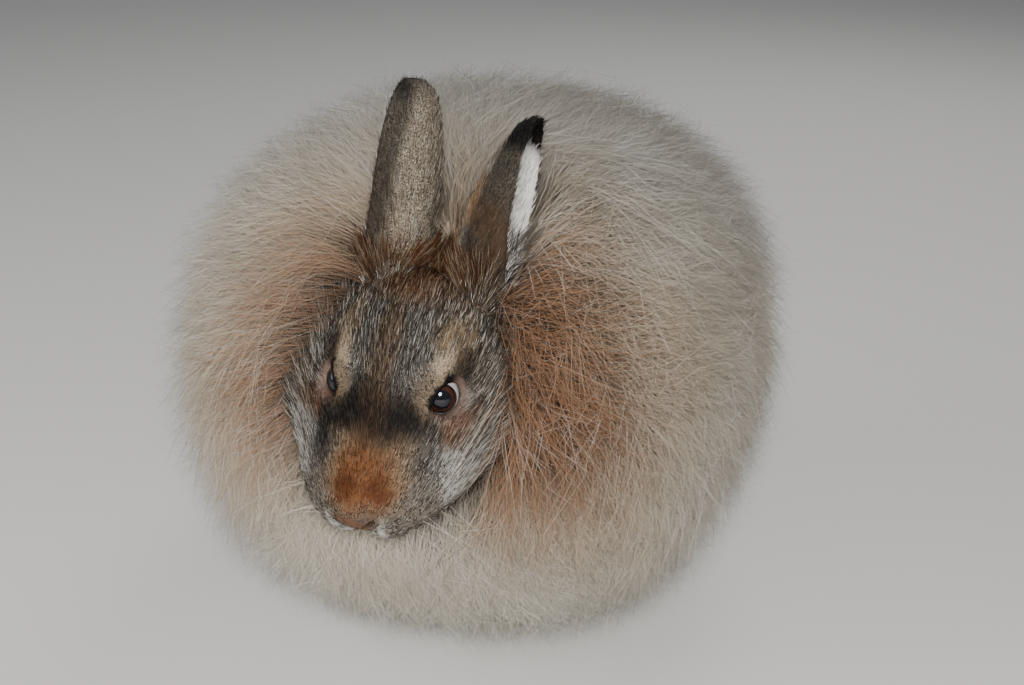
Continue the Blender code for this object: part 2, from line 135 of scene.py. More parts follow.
HEAD_LENGTH = 0.124
HEAD_STATIONS = (0.0, 0.003, 0.010, 0.022, 0.036, 0.050, 0.064, 0.080, 0.096, 0.112, 0.124)
HEAD_TOP = (-0.003, 0.0038, 0.0062, 0.0088, 0.0122, 0.0160, 0.0200, 0.0230, 0.0215, 0.014, -0.006)
HEAD_MIDDLE = (-0.003, -0.005, -0.008, -0.010, -0.012, -0.013, -0.014, -0.014, -0.012, -0.008, -0.006)
HEAD_BOTTOM = (-0.003, -0.013, -0.022, -0.030, -0.036, -0.041, -0.045, -0.047, -0.044, -0.033, -0.006)
HEAD_HALF_WIDTH = (0.0, 0.0165, 0.0275, 0.0365, 0.0430, 0.0475, 0.0490, 0.0470, 0.0415, 0.030, 0.0)
BROW_SQUARENESS, JAW_SQUARENESS = 1.55, 2.2
FACE_FUR_DEPTH = 0.0012

EYE_FORWARD_TURN, EYE_UPWARD_TURN = math.radians(22), math.radians(34)
LID_SLANT = math.radians(-12)
LID_THICKNESS = 0.0017
LID_OPENING = (0.0092, 0.0066)
NOSTRIL = (0.0052, 0.0034, 0.0011)
NOSTRIL_OUT = 0.0056
MOUTH_DROP, MOUTH_HALF_WIDTH, LIP_GROOVE = 0.0105, 0.0165, 0.0012

EAR_ROOT = np.array((0.016, -0.088, 0.170))
EAR_TIPS = {"left": np.array((0.046, -0.062, 0.262)), "right": np.array((-0.018, -0.062, 0.2755))}
EAR_OPENS = {"left": np.array((1.0, 0.06, 0.0)), "right": np.array((-0.86, 0.50, 0.0))}
EAR_SPREAD = {"left": 1.02, "right": 0.97}
EAR_ROLL = {"left": 1.38, "right": 1.0}
EAR_STATIONS = (0.0, 0.25, 0.5, 0.75, 0.9, 0.97, 1.0)
EAR_HALF_WIDTH = (0.0105, 0.0155, 0.0182, 0.0174, 0.0142, 0.0100, 0.0045)
EAR_CURL = tuple(math.radians(a) for a in (125, 100, 78, 62, 48, 40, 35))
EAR_THICKNESS = 0.0018
EAR_BEND = 0.006

FOREPAW, FOREPAW_HALF = np.array((0.030, -0.048, 0.0)), np.array((0.0125, 0.0215, 0.012))
FORELEG_TOP, FORELEG_RADIUS = np.array((0.036, -0.034, 0.062)), 0.0120
HINDFOOT, HINDFOOT_HALF = np.array((0.050, 0.026, 0.0)), np.array((0.0155, 0.050, 0.014))
THIGH, THIGH_HALF, SHANK_RADIUS = np.array((0.056, 0.034, 0.062)), np.array((0.022, 0.042, 0.038)), 0.0145
TOE_COUNT, TOE_RADIUS, TOE_SHAPE = 4, 0.0052, np.array((0.86, 1.7, 1.05))
SOLE_LEVEL = 0.0004


def coat_reach(ways):
    """Distance from the middle of the coat to its tips, for an array of directions."""
    x = np.abs(ways[..., 0]) / COAT_HALF_WIDTH
    y = np.abs(ways[..., 1]) / np.where(ways[..., 1] < 0, COAT_FRONT, COAT_BACK)
    z = np.abs(ways[..., 2]) / np.where(ways[..., 2] > 0, COAT_UP, COAT_DOWN)
    power = COAT_SQUARENESS
    ball = (x**power + y**power + z**power) ** (-1 / power)
    ahead = np.maximum(ways @ PARTING_AXIS, 0.0) ** 0.5
    across = ways[..., 0] / PARTING_HALF_WIDTH
    along = ways @ PARTING_RISE / PARTING_HALF_HEIGHT
    return ball * (1 - PARTING_DEPTH * ahead * np.exp(-across * across - along * along))


def object_of(name, form):
    """Makes an object of a closed bmesh, its faces pointing out."""
    bmesh.ops.recalc_face_normals(form, faces=form.faces)
    if form.calc_volume(signed=True) < 0:
        bmesh.ops.reverse_faces(form, faces=form.faces)
    mesh = bpy.data.meshes.new(name)
    form.to_mesh(mesh)
    form.free()
    obj = bpy.data.objects.new(name, mesh)
    bpy.context.scene.collection.objects.link(obj)
    return obj


def shape_by(form, rule):
    """Moves every point of a bmesh to where a rule on arrays puts it."""
    moved = rule(np.array([vertex.co for vertex in form.verts]))
    for vertex, spot in zip(form.verts, moved):
        vertex.co = spot


def egg(name, centre, half, turn=None, segments=32, rings=20):
    """A closed egg form with the given half sizes."""
    form = bmesh.new()
    bmesh.ops.create_uvsphere(form, u_segments=segments, v_segments=rings, radius=1.0)
    bmesh.ops.scale(form, vec=Vector(half), verts=form.verts)
    place = Matrix.Translation(Vector(centre)) @ (turn or Matrix()).to_4x4()
    bmesh.ops.transform(form, matrix=place, verts=form.verts)
    return object_of(name, form)


def settled(obj):
    """Applies an object's modifiers."""
    bpy.context.view_layer.update()
    graph = bpy.context.evaluated_depsgraph_get()
    mesh = bpy.data.meshes.new_from_object(obj.evaluated_get(graph))
    obj.modifiers.clear()
    obj.data = mesh
    return obj


def fuse(obj, operation, others):
    """Joins closed forms to an object or cuts them from it."""
    group = bpy.data.collections.new(obj.name + "_forms")
    for other in others:
        group.objects.link(other)
    step = obj.modifiers.new(operation, "BOOLEAN")
    step.operation, step.operand_type, step.collection, step.solver = operation, "COLLECTION", group, "MANIFOLD"
    settled(obj)
    for other in others:
        bpy.data.objects.remove(other)
    bpy.data.collections.remove(group)
    return obj


def body_form(ball):
    ways = unit(ball)
    return body_origin + COAT_CENTRE + ways * (coat_reach(ways) * SKIN_SHARE)[..., None]


def head_form(ball):
    """Puts the points of a ball on the head, with brow and cheeks raised."""
    along = HEAD_LENGTH * (1 - np.clip(ball[:, 2], -1, 1)) / 2
    level = np.hypot(ball[:, 0], ball[:, 1])
    out, up = ball[:, 0] / np.maximum(level, 1e-6), ball[:, 1] / np.maximum(level, 1e-6)
    power = 2 / np.where(up > 0, BROW_SQUARENESS, JAW_SQUARENESS)
    middle = smooth_curve(HEAD_STATIONS, HEAD_MIDDLE, along)
    top = smooth_curve(HEAD_STATIONS, HEAD_TOP, along)
    bottom = smooth_curve(HEAD_STATIONS, HEAD_BOTTOM, along)
    half = smooth_curve(HEAD_STATIONS, HEAD_HALF_WIDTH, along)
    reach = np.abs(np.where(up > 0, top, bottom) - middle)
    above = middle + reach * np.sign(up) * np.abs(up) ** power
    across = half * np.sign(out) * np.abs(out) ** power
    spots = head_place(along, above, across)
    inward = unit(spots - head_place(along, middle, 0.0))
    return spots - inward * FACE_FUR_DEPTH


def ear_frame(name):
    side = 1 if name == "left" else -1
    root = body_origin + EAR_ROOT * np.array((side, 1, 1))
    tip = body_origin + EAR_TIPS[name]
    up = unit(tip - root)
    opens = unit(EAR_OPENS[name] - up * (EAR_OPENS[name] @ up))
    return root, tip, opens, np.cross(up, opens)


def ear_form(name):
    """A leaf rolled to a tube at its root and open like a scoop above."""
    root, tip, opens, wide = ear_frame(name)

    def rule(sheet):
        t = 1 - (1 - (sheet[:, 1] + 1) / 2) ** 1.25
        half = smooth_curve(EAR_STATIONS, EAR_HALF_WIDTH, t) * EAR_SPREAD[name]
        curl = smooth_curve(EAR_STATIONS, EAR_CURL, t) * EAR_ROLL[name]
        radius = half / np.sin(np.minimum(curl, math.pi / 2))
        angle = sheet[:, 0] * curl
        middle = root + (tip - root) * t[:, None] - opens * (EAR_BEND * np.sin(math.pi * t))[:, None]
        back = radius * (np.cos(angle) - 0.5)
        return middle + wide * (radius * np.sin(angle))[:, None] - opens * back[:, None]

    return rule


def limb(start, end, radius):
    turn = Vector(end - start).to_track_quat("Z", "Y").to_matrix()
    half = (radius, radius, np.linalg.norm(end - start) / 2 + radius)
    return egg("limb", body_origin + (start + end) / 2, half, turn, 24, 16)


def foot(place, half, side):
    """The sole and toes of one foot."""
    mirror = np.array((side, 1, 1))
    forms = [egg("sole", body_origin + place * mirror + np.array((0, 0, half[2] * 0.8)), half, None, 28, 16)]
    for k in range(TOE_COUNT):
        spread = (k - (TOE_COUNT - 1) / 2) / TOE_COUNT * 2
        ahead = place[1] - half[1] * (0.92 - 0.16 * spread * spread)
        toe = np.array((side * place[0] + spread * half[0] * 0.95, ahead, TOE_RADIUS * 0.9))
        forms.append(egg("toe", body_origin + toe, TOE_SHAPE * TOE_RADIUS, None, 16, 10))
    return forms


def eye_turn(side):
    """Turns a form made with Z out of the eye and X along the lids."""
    look = Matrix.Rotation(side * (math.pi / 2 - EYE_FORWARD_TURN), 4, "Y")
    flat = Matrix.Rotation(math.pi / 2, 4, "X")
    slant = Matrix.Rotation(side * LID_SLANT, 4, "Z")
    lift = Matrix.Rotation(-side * EYE_UPWARD_TURN, 4, "Y")
    return Matrix.Rotation(HEAD_PITCH, 4, "X") @ lift @ flat @ look @ slant


form = bmesh.new()
bmesh.ops.create_uvsphere(form, u_segments=128, v_segments=96, radius=1.0)
shape_by(form, head_form)
skin = object_of("skin", form)
lids, sockets = [], []
eye_centres = {side: head_place(EYE_ALONG, EYE_ABOVE, side * EYE_OUT) for side in (-1, 1)}
for side, centre in eye_centres.items():
    lid_reach = EYE_RADIUS + 0.0003 + LID_THICKNESS * 0.85
    lids.append(egg("lid", centre, (lid_reach,) * 3, None, 64, 48))
    sockets.append(egg("socket", centre, (EYE_RADIUS + 0.0003,) * 3, None, 64, 48))
    form = bmesh.new()
    bmesh.ops.create_cone(form, cap_ends=True, segments=64, radius1=0.75, radius2=1.15, depth=1.0)
    bmesh.ops.scale(form, vec=(LID_OPENING[0], LID_OPENING[1], 2 * EYE_RADIUS), verts=form.verts)
    bmesh.ops.translate(form, vec=(0, 0, 1.2 * EYE_RADIUS), verts=form.verts)
    turn = Matrix.Translation(Vector(centre)) @ eye_turn(side)
    bmesh.ops.transform(form, matrix=turn, verts=form.verts)
    sockets.append(object_of("opening", form))
PAD_PLACE, PAD_HALF = (0.0100, -0.0095, 0.0105), (0.0105, 0.0100, 0.0085)
for side in (-1, 1):
    place = head_place(PAD_PLACE[0], PAD_PLACE[1], side * PAD_PLACE[2])
    lids.append(egg("whisker_pad", place, PAD_HALF, Matrix.Rotation(HEAD_PITCH, 4, "X"), 40, 28))
fuse(skin, "UNION", lids)
fuse(skin, "DIFFERENCE", sockets)
head_tilt = Matrix.Rotation(HEAD_PITCH, 4, "X")
grooves = []
for side in (-1, 1):
    turn = head_tilt @ Matrix.Rotation(side * math.radians(-38), 4, "Y")
    place = head_place(0.0012 + FACE_FUR_DEPTH, -0.0008, side * NOSTRIL_OUT)
    grooves.append(egg("nostril", place, NOSTRIL, turn, 24, 16))
place = head_place(0.0008 + FACE_FUR_DEPTH, -0.0075, 0.0)
grooves.append(egg("philtrum", place, (LIP_GROOVE / 2, 0.0042, 0.0050), head_tilt, 24, 16))
turn = head_tilt @ Matrix.Rotation(math.radians(-16), 4, "X")
place = head_place(0.0140, -MOUTH_DROP, 0.0)
grooves.append(egg("mouth", place, (MOUTH_HALF_WIDTH, 0.0150, LIP_GROOVE / 2), turn, 48, 16))
fuse(skin, "DIFFERENCE", grooves)

rest_of_hide = []
form = bmesh.new()
bmesh.ops.create_icosphere(form, subdivisions=5, radius=1.0)
shape_by(form, body_form)
rest_of_hide.append(object_of("body", form))
for name in ("left", "right"):
    form = bmesh.new()
    bmesh.ops.create_grid(form, x_segments=28, y_segments=44, size=1.0)
    shape_by(form, ear_form(name))
    ear = object_of("ear_hide", form)
    shell = ear.modifiers.new("Thickness", "SOLIDIFY")
    shell.thickness, shell.offset, shell.use_even_offset = EAR_THICKNESS, 0.0, False
    rest_of_hide.append(settled(ear))
for side in (-1, 1):
    mirror = np.array((side, 1, 1))
    wrist = FOREPAW + np.array((0, 0.012, 0.012))
    heel = HINDFOOT + np.array((0, 0.034, 0.014))
    rest_of_hide += foot(FOREPAW, FOREPAW_HALF, side) + foot(HINDFOOT, HINDFOOT_HALF, side)
    rest_of_hide.append(limb(wrist * mirror, FORELEG_TOP * mirror, FORELEG_RADIUS))
    rest_of_hide.append(limb(heel * mirror, THIGH * mirror, SHANK_RADIUS))
    rest_of_hide.append(egg("thigh", body_origin + THIGH * mirror, THIGH_HALF * 0.97, None, 32, 20))
fuse(skin, "UNION", rest_of_hide)
form = bmesh.new()
bmesh.ops.create_cube(form, size=1.0)
bmesh.ops.translate(form, vec=(0, 0, SOLE_LEVEL - 0.5), verts=form.verts)
fuse(skin, "DIFFERENCE", [object_of("floor_cut", form)])
form = bmesh.new()
form.from_mesh(skin.data)
bmesh.ops.triangulate(form, faces=form.faces)
bmesh.ops.remove_doubles(form, verts=form.verts, dist=0.00002)
rims = [v for v in form.verts if any(
    EYE_RADIUS + 0.0003 < np.linalg.norm(np.array(v.co) - c) < EYE_RADIUS + 0.006 for c in eye_centres.values()
)]
for _ in range(4):
    bmesh.ops.smooth_vert(form, verts=rims, factor=0.35, use_axis_x=True, use_axis_y=True, use_axis_z=True)
form.to_mesh(skin.data)
form.free()
skin.data.shade_smooth()
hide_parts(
    "head", "ear_left", "ear_right", "foreleg_left", "foreleg_right", "hindleg_left", "hindleg_right"
)
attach(skin, "root")


class Dye:
    """Colour maths on hair and hide: it wraps a socket, and its operators add the Math nodes."""

    def __init__(self, tree, socket=None):
        self.tree, self.socket = tree, socket

    def node(self, kind, settings, values, output=0):
        """Any node, from its type, its settings and the values or links of its sockets."""
        made = self.tree.nodes.new(kind)
        for key, value in settings.items():
            if key == "stops":
                ramp = made.color_ramp
                for place, _ in value[2:]:
                    ramp.elements.new(place)
                for element, (place, colour) in zip(ramp.elements, sorted(value)):
                    element.position, element.color = place, (*colour, 1.0)
            else:
                setattr(made, key, value)
        for key, value in values.items():
            if isinstance(value, Dye):
                self.tree.links.new(value.socket, made.inputs[key])
            else:
                made.inputs[key].default_value = value
        return Dye(self.tree, made.outputs[output])

    def maths(self, operation, *values):
        return self.node("ShaderNodeMath", {"operation": operation}, dict(enumerate(values)))

    def __add__(self, other):
        return self.maths("ADD", self, other)

    __radd__ = __add__

    def __sub__(self, other):
        return self.maths("SUBTRACT", self, other)

    def __rsub__(self, other):
        return self.maths("SUBTRACT", other, self)

    def __mul__(self, other):
        return self.maths("MULTIPLY", self, other)

    __rmul__ = __mul__

    def __truediv__(self, other):
        return self.maths("DIVIDE", self, other)

    def __abs__(self):
        return self.maths("ABSOLUTE", self)

    def step(self, low, high, start=0.0, end=1.0):
        """A smooth rise from start to end as this value goes from low to high."""
        settings = {"interpolation_type": "SMOOTHSTEP", "clamp": True}
        values = {0: self, 1: low, 2: high, 3: start, 4: end}
        return self.node("ShaderNodeMapRange", settings, values)

    def vector(self, operation, *values, output=0):
        values = {k: v if isinstance(v, Dye) else tuple(v) for k, v in enumerate(values)}
        return self.node("ShaderNodeVectorMath", {"operation": operation}, values, output)

    def along(self, way):
        """How far this place lies along a direction."""
        return self.vector("DOT_PRODUCT", self, way, output=1)

    def mix(self, under, over):
        """Lays a colour over another, this value being how much of it shows."""
        under, over = [c if isinstance(c, Dye) else (*c, 1.0) for c in (under, over)]
        values = {0: self, 6: under, 7: over}
        settings = {"data_type": "RGBA", "blend_type": "MIX", "clamp_factor": True}
        return self.node("ShaderNodeMix", settings, values, 2)

    def spot(self, centre, half, edge=0.35):
        """1 inside an egg-shaped spot of the head, falling to 0 over its soft edge."""
        apart = self.vector("DIVIDE", self.vector("SUBTRACT", self, centre), half)
        return self.vector("LENGTH", apart, output=1).step(1 + edge, 1 - edge)

    def mottle(self, scale, detail=2.0, stretch=(1, 1, 1)):
        """Soft noise between 0 and 1 on this place."""
        place = self.vector("MULTIPLY", self, stretch)
        values = {"Vector": place, "Scale": scale, "Detail": detail}
        return self.node("ShaderNodeTexNoise", {"noise_dimensions": "3D"}, values)


WOOL_CREAM, WOOL_BEIGE, WOOL_GREY = (0.74, 0.68, 0.575), (0.60, 0.535, 0.435), (0.37, 0.345, 0.31)
SILVER_WOOL = (0.80, 0.79, 0.77)
RUST, DEEP_RUST, TAN = (0.130, 0.043, 0.011), (0.070, 0.019, 0.004), (0.24, 0.16, 0.088)
BLACK_HAIR, STEEL_HAIR, SILVER_HAIR = (0.004, 0.0035, 0.0035), (0.075, 0.066, 0.056), (0.46, 0.43, 0.385)
WHITE_HAIR, CREAM_HAIR, BROWN_HAIR = (0.74, 0.71, 0.66), (0.52, 0.43, 0.31), (0.085, 0.048, 0.024)
LID_PINK = (0.20, 0.125, 0.10)
EAR_PINK = (0.50, 0.34, 0.27)


def new_finish(name):
    """A matt finish for hide or hair, and its tree."""
    finish = bpy.data.materials.new(name)
    finish.use_nodes = True
    shader = finish.node_tree.nodes["Principled BSDF"]
    shader.inputs["Roughness"].default_value = 0.62
    shader.inputs["Specular IOR Level"].default_value = 0.10
    return finish, Dye(finish.node_tree), shader


def head_frame_of(dye, place):
    """A place as it lies in the head: out to the side (either side alike), along its axis and above it."""
    apart = dye.vector("SUBTRACT", place, nose_tip)
    out, along, above = apart.along((1, 0, 0)), apart.along(HEAD_AXIS), apart.along(HEAD_RISE)
    values = {0: abs(out), 1: along, 2: above}
    return dye.node("ShaderNodeCombineXYZ", {}, values), out


def face_colour(dye, place, tick):
    """The ticked agouti of the face, with a rust nose, white lips, pale brows and a black painted shadow in the
    furrow in front of the right eye.
    """
    spot, out = head_frame_of(dye, place)
    coarse, fine = place.mottle(80.0, 3.0), place.mottle(230.0, 2.0)
    worn = spot.vector("ADD", spot, dye.node("ShaderNodeCombineXYZ", {}, {
        0: (coarse - 0.5) * 0.012 + (fine - 0.5) * 0.006, 1: (place.mottle(70.0, 3.0, (1, 1.3, 1)) - 0.5) * 0.018,
    }))

    def patch(centre, half, edge=0.6, strength=1.0):
        """A patch whose edge breaks up hair by hair."""
        return (worn.spot(centre, half, edge) + (tick - 0.5) * 0.30).step(0.08, 0.92) * strength

    dark = (tick + (fine - 0.5) * 0.5).step(0.34, 0.48, 1.0, 0.0)
    pale = (tick - (fine - 0.5) * 0.4).step(0.68, 0.82)
    agouti = pale.mix(dark.mix(STEEL_HAIR, BLACK_HAIR), SILVER_HAIR)
    cheeks = pale.mix(dark.mix((0.20, 0.175, 0.145), (0.045, 0.038, 0.03)), SILVER_HAIR)
    muzzle = pale.mix(dark.mix((0.13, 0.11, 0.09), (0.025, 0.022, 0.02)), (0.33, 0.30, 0.26))
    silver = dark.mix((0.50, 0.485, 0.45), (0.14, 0.125, 0.105))
    rust = pale.mix(dark.mix(RUST, DEEP_RUST), (0.27, 0.125, 0.05))
    tan = pale.mix(dark.mix(TAN, BROWN_HAIR), CREAM_HAIR)
    white = dark.mix((0.58, 0.55, 0.50), (0.24, 0.215, 0.185))
    cream = dark.mix(CREAM_HAIR, (0.20, 0.15, 0.10))
    brow = pale.mix(dark.mix(TAN, STEEL_HAIR), (0.52, 0.45, 0.35))
    brown = pale.mix(dark.mix(BROWN_HAIR, BLACK_HAIR), TAN)
    nape = pale.mix(dark.mix((0.15, 0.062, 0.020), DEEP_RUST), TAN)
    umber = pale.mix(dark.mix((0.028, 0.015, 0.009), BLACK_HAIR), BROWN_HAIR)
    coat = agouti
    coat = patch((0.0, 0.070, 0.020), (0.0060, 0.034, 0.016), 0.9, 0.7).mix(coat, brown)
    coat = patch((0.046, 0.060, -0.016), (0.022, 0.044, 0.022), 0.6).mix(coat, cheeks)
    coat = patch((0.024, 0.016, -0.010), (0.015, 0.018, 0.013), 0.7, 0.9).mix(coat, muzzle)
    coat = patch((0.038, 0.034, -0.006), (0.009, 0.016, 0.010), 0.9, 0.6).mix(coat, silver)
    coat = patch((0.0, 0.124, 0.014), (0.040, 0.022, 0.034), 0.6, 0.85).mix(coat, nape)
    coat = patch((0.0, 0.024, 0.007), (0.019, 0.020, 0.016), 0.8, 0.9).mix(coat, tan)
    coat = patch((0.0, 0.020, 0.006), (0.0150, 0.0165, 0.014), 0.9, 0.85).mix(coat, rust)
    coat = (place.mottle(150.0, 2.0).step(0.50, 0.68) * patch((0.0, 0.020, 0.006), (0.018, 0.018, 0.014)) * 0.6).mix(coat, brown)
    coat = patch((0.0080, 0.016, 0.006), (0.0055, 0.0055, 0.008), 0.9, 0.75).mix(coat, DEEP_RUST)
    coat = patch((0.0, 0.046, 0.014), (0.024, 0.011, 0.016), 0.9).mix(coat, umber)
    coat = patch((0.0145, 0.046, 0.012), (0.0085, 0.0080, 0.010), 0.8, 0.95).mix(coat, BLACK_HAIR)
    # Painted shadow: black hair in the furrow between brow and cheek in front of the right eye, on that side only,
    # standing for the shade of the eye socket.
    painted_furrow_shadow = patch((0.0250, 0.050, 0.004), (0.0058, 0.022, 0.010), 0.8, 0.85) * out.step(0.004, -0.004)
    coat = painted_furrow_shadow.mix(coat, BLACK_HAIR)
    coat = patch((0.0285, 0.086, 0.012), (0.0090, 0.015, 0.010), 0.9, 0.9).mix(coat, brow)
    coat = patch((0.0250, 0.074, 0.012), (0.0060, 0.008, 0.006), 0.9, 0.5).mix(coat, cream)
    coat = patch((0.0335, 0.050, 0.000), (0.0060, 0.008, 0.007), 0.9, 0.6).mix(coat, rust)
    coat = patch((0.0, 0.000, -0.0135), (0.013, 0.011, 0.0065), 0.9, 0.85).mix(coat, white)
    coat = patch((0.0120, 0.004, -0.0050), (0.0035, 0.006, 0.0045), 0.9, 0.6).mix(coat, white)
    coat = patch((0.0, 0.022, -0.030), (0.024, 0.034, 0.013), 0.6).mix(coat, white)
    coat = patch((0.0, 0.001, -0.001), (0.0065, 0.005, 0.0035), 0.6, 0.9).mix(coat, (0.14, 0.07, 0.038))
    for side, centre in eye_centres.items():
        turn = eye_turn(side).to_3x3()
        from_eye = dye.vector("SUBTRACT", place, centre)
        near = dye.vector("LENGTH", from_eye, output=1).step(EYE_RADIUS + 0.0110, EYE_RADIUS + 0.0060)
        back, upper = [from_eye.along(tuple(turn @ Vector(way))) for way in ((side, 0, 0), (0, 1, 0))]
        rim = dye.node("ShaderNodeCombineXYZ", {}, {0: back / (LID_OPENING[0] * 0.94), 1: upper / (LID_OPENING[1] * 0.94)})
        rim = dye.vector("LENGTH", rim, output=1) + (fine - 0.5) * 0.5 + (tick - 0.5) * 0.25
        over = upper.step(-0.002, 0.004)
        coat = (rim.step(2.50, 1.30) * over * near * 0.45).mix(coat, brow)
        band = abs(upper - 0.0010).step(0.0075, 0.0020) * back.step(0.0045, 0.0100)
        band = band * dye.vector("LENGTH", from_eye, output=1).step(EYE_RADIUS + 0.0180, EYE_RADIUS + 0.0080)
        coat = (band * 0.85).mix(coat, BLACK_HAIR)
        coat = (rim.step(1.36, 1.16) * near * over.step(0.0, 1.0, 0.5, 1.0)).mix(coat, over.mix(LID_PINK, BLACK_HAIR))
    return coat


def wool_colour(dye, place, tick):
    """Grey beige wool, cream on the chest, greyer on the back and darker there with painted shade, with a rust ring
    round the head.
    """
    from_head = dye.vector("SUBTRACT", place, tuple(head_place(0.062, -0.010, 0.012)))
    across = dye.vector("DIVIDE", from_head, (1.0, 1.2, 1.0))
    apart = dye.vector("LENGTH", across, output=1) + (place.mottle(24.0, 3.0) - 0.5) * 0.040
    # Cream low down, beige, then grey towards the top: the greyer tone is the wool's own, and the darkening towards
    # the top is painted shade, where less light falls.
    top_grey_and_painted_shade = place.along((0.0, 0.34, 1.0)) + (place.mottle(14.0, 3.0) - 0.5) * 0.09
    coat = top_grey_and_painted_shade.step(0.03, 0.13).mix(WOOL_CREAM, WOOL_BEIGE)
    coat = top_grey_and_painted_shade.step(0.12, 0.27).mix(coat, WOOL_GREY)
    front = place.along((0.0, -1.0, -0.25)).step(0.045, 0.105)
    coat = (front * 0.7).mix(coat, WOOL_CREAM)
    coat = (place.mottle(34.0, 4.0).step(0.48, 0.68) * 0.40).mix(coat, WOOL_GREY)
    coat = (place.mottle(19.0, 3.0).step(0.48, 0.62) * 0.45).mix(coat, (0.46, 0.365, 0.255))
    coat = (place.mottle(23.0, 3.0, (1.0, 1.1, 1.2)).step(0.50, 0.62) * 0.50).mix(coat, (0.68, 0.665, 0.635))
    level = place.along((0.0, 0.0, 1.0))
    coat = (apart.step(0.108, 0.070) * level.step(0.085, 0.125) * 0.50).mix(coat, (0.50, 0.36, 0.22))
    ring = apart.step(0.079, 0.056) * level.step(0.108, 0.138)
    coat = (ring * 0.85).mix(coat, tick.step(0.25, 0.9).mix((0.21, 0.074, 0.021), (0.33, 0.150, 0.058)))
    return (tick.step(0.62, 0.90) * 0.38).mix((tick.step(0.36, 0.10) * 0.32).mix(coat, WOOL_GREY), SILVER_WOOL)


def ear_colour(dye, place, tick, lining):
    """Ticked tan backs with dark edges, black tips, a faint rust patch and rust brown roots."""
    dark = tick.step(0.34, 0.46, 1.0, 0.0)
    pale = tick.step(0.72, 0.86)
    coat = pale.mix(dark.mix((0.21, 0.175, 0.13), (0.055, 0.045, 0.035)), (0.44, 0.40, 0.34))
    close = None
    for name, rusty, blackness, black_from in (("left", 0.62, 1.0, 0.80), ("right", 0.15, 0.7, 0.90)):
        root, tip, opens, wide = ear_frame(name)
        apart = dye.vector("SUBTRACT", place, root)
        here = (apart.along((1, 0, 0)) * (1 if name == "left" else -1)).step(-0.012, -0.002)
        rise = apart.along(tuple((tip - root) / ((tip - root) @ (tip - root))))
        forward, across = apart.along(tuple(opens)), apart.along(tuple(wide))
        near = (forward * forward + across * across).maths("SQRT", forward * forward + across * across)
        near = near.step(0.0245, 0.0215) * rise.step(0.10, 0.20)
        close = near if close is None else close.maths("MAXIMUM", close, near)
        worn = rise + (place.mottle(70.0, 3.0) - 0.5) * 0.14
        edge = abs(across + (place.mottle(110.0, 2.0) - 0.5) * 0.005) + rise.step(0.60, 1.0) * 0.009
        mottled = (place.mottle(90.0, 2.0).step(0.45, 0.65) * 0.4).mix(coat, (0.11, 0.09, 0.07))
        patch = worn.step(0.30, 0.42) * worn.step(0.72, 0.56) * place.mottle(55.0, 2.0).step(0.35, 0.55)
        marked = (patch * rusty).mix(mottled, pale.mix((0.22, 0.105, 0.040), TAN))
        marked = (edge.step(0.0100, 0.0160) * 0.75).mix(marked, BLACK_HAIR)
        marked = (worn.step(0.16, 0.02) * 0.85).mix(marked, pale.mix(RUST, TAN))
        marked = lining.mix(marked, tick.step(0.05, 0.35).mix((0.42, 0.37, 0.32), (0.78, 0.76, 0.73)))
        marked = (worn.step(black_from, black_from + 0.08) * blackness).mix(marked, BLACK_HAIR)
        coat = here.mix(coat, marked)
    return coat, close


def ear_lining(spots, outward):
    """How far points of the hide face into the cup of an ear: 1 on the lining, 0 on the back and off the ears."""
    inner = np.zeros(len(spots))
    for name in ("left", "right"):
        root, tip, opens, wide = ear_frame(name)
        rise = (spots - root) @ (tip - root) / ((tip - root) @ (tip - root))
        t = np.clip(rise, 0.0, 1.0)
        half = smooth_curve(EAR_STATIONS, EAR_HALF_WIDTH, t) * EAR_SPREAD[name]
        curl = smooth_curve(EAR_STATIONS, EAR_CURL, t) * EAR_ROLL[name]
        radius = half / np.sin(np.minimum(curl, math.pi / 2))
        roll_centre = root + (tip - root) * t[:, None]
        roll_centre += opens * (0.5 * radius - EAR_BEND * np.sin(math.pi * t))[:, None]
        near = (np.linalg.norm(spots - roll_centre, axis=1) < radius + 0.004) & (rise > 0.08) & (rise < 1.05)
        facing = (outward * unit(roll_centre - spots)).sum(-1)
        inner = np.maximum(inner, near * soft_step(0.1, 0.4, facing))
    return inner


skin.data.calc_loop_triangles()
corner_spots = np.empty(len(skin.data.vertices) * 3)
skin.data.vertices.foreach_get("co", corner_spots)
corner_spots = corner_spots.reshape(-1, 3)
corner_ways = np.empty(len(skin.data.vertices) * 3)
skin.data.vertices.foreach_get("normal", corner_ways)
corner_ways = corner_ways.reshape(-1, 3)
hide_faces = np.empty(len(skin.data.loop_triangles) * 3, np.int32)
skin.data.loop_triangles.foreach_get("vertices", hide_faces)
hide_faces = hide_faces.reshape(-1, 3)
lined = skin.data.attributes.new("lining", "FLOAT", "POINT")
lined.data.foreach_set("value", ear_lining(corner_spots, corner_ways).astype(np.float32))

finish, dye, shader = new_finish("hide")
place = dye.node("ShaderNodeTexCoord", {}, {}, 3)
grain = place.mottle(1400.0, 1.0)
face = face_colour(dye, place, grain.step(-0.30, 1.30))
wool = wool_colour(dye, place, grain)
lining = dye.node("ShaderNodeAttribute", {"attribute_name": "lining"}, {}, 2)
ears, on_ear = ear_colour(dye, place, grain.step(0.10, 0.90), lining)
spot, _ = head_frame_of(dye, place)
on_head = spot.along((0, 1, 0)).step(0.146, 0.134) * place.along((0, -1, 0)).step(0.048, 0.060)
hide = on_ear.mix(on_head.mix(wool, face), ears)
dye.tree.links.new(hide.socket, shader.inputs["Base Color"])
bump = dye.node("ShaderNodeBump", {}, {"Strength": 0.55, "Distance": 0.0005, "Height": grain})
dye.tree.links.new(bump.socket, shader.inputs["Normal"])
skin.data.materials.clear()
skin.data.materials.append(finish)


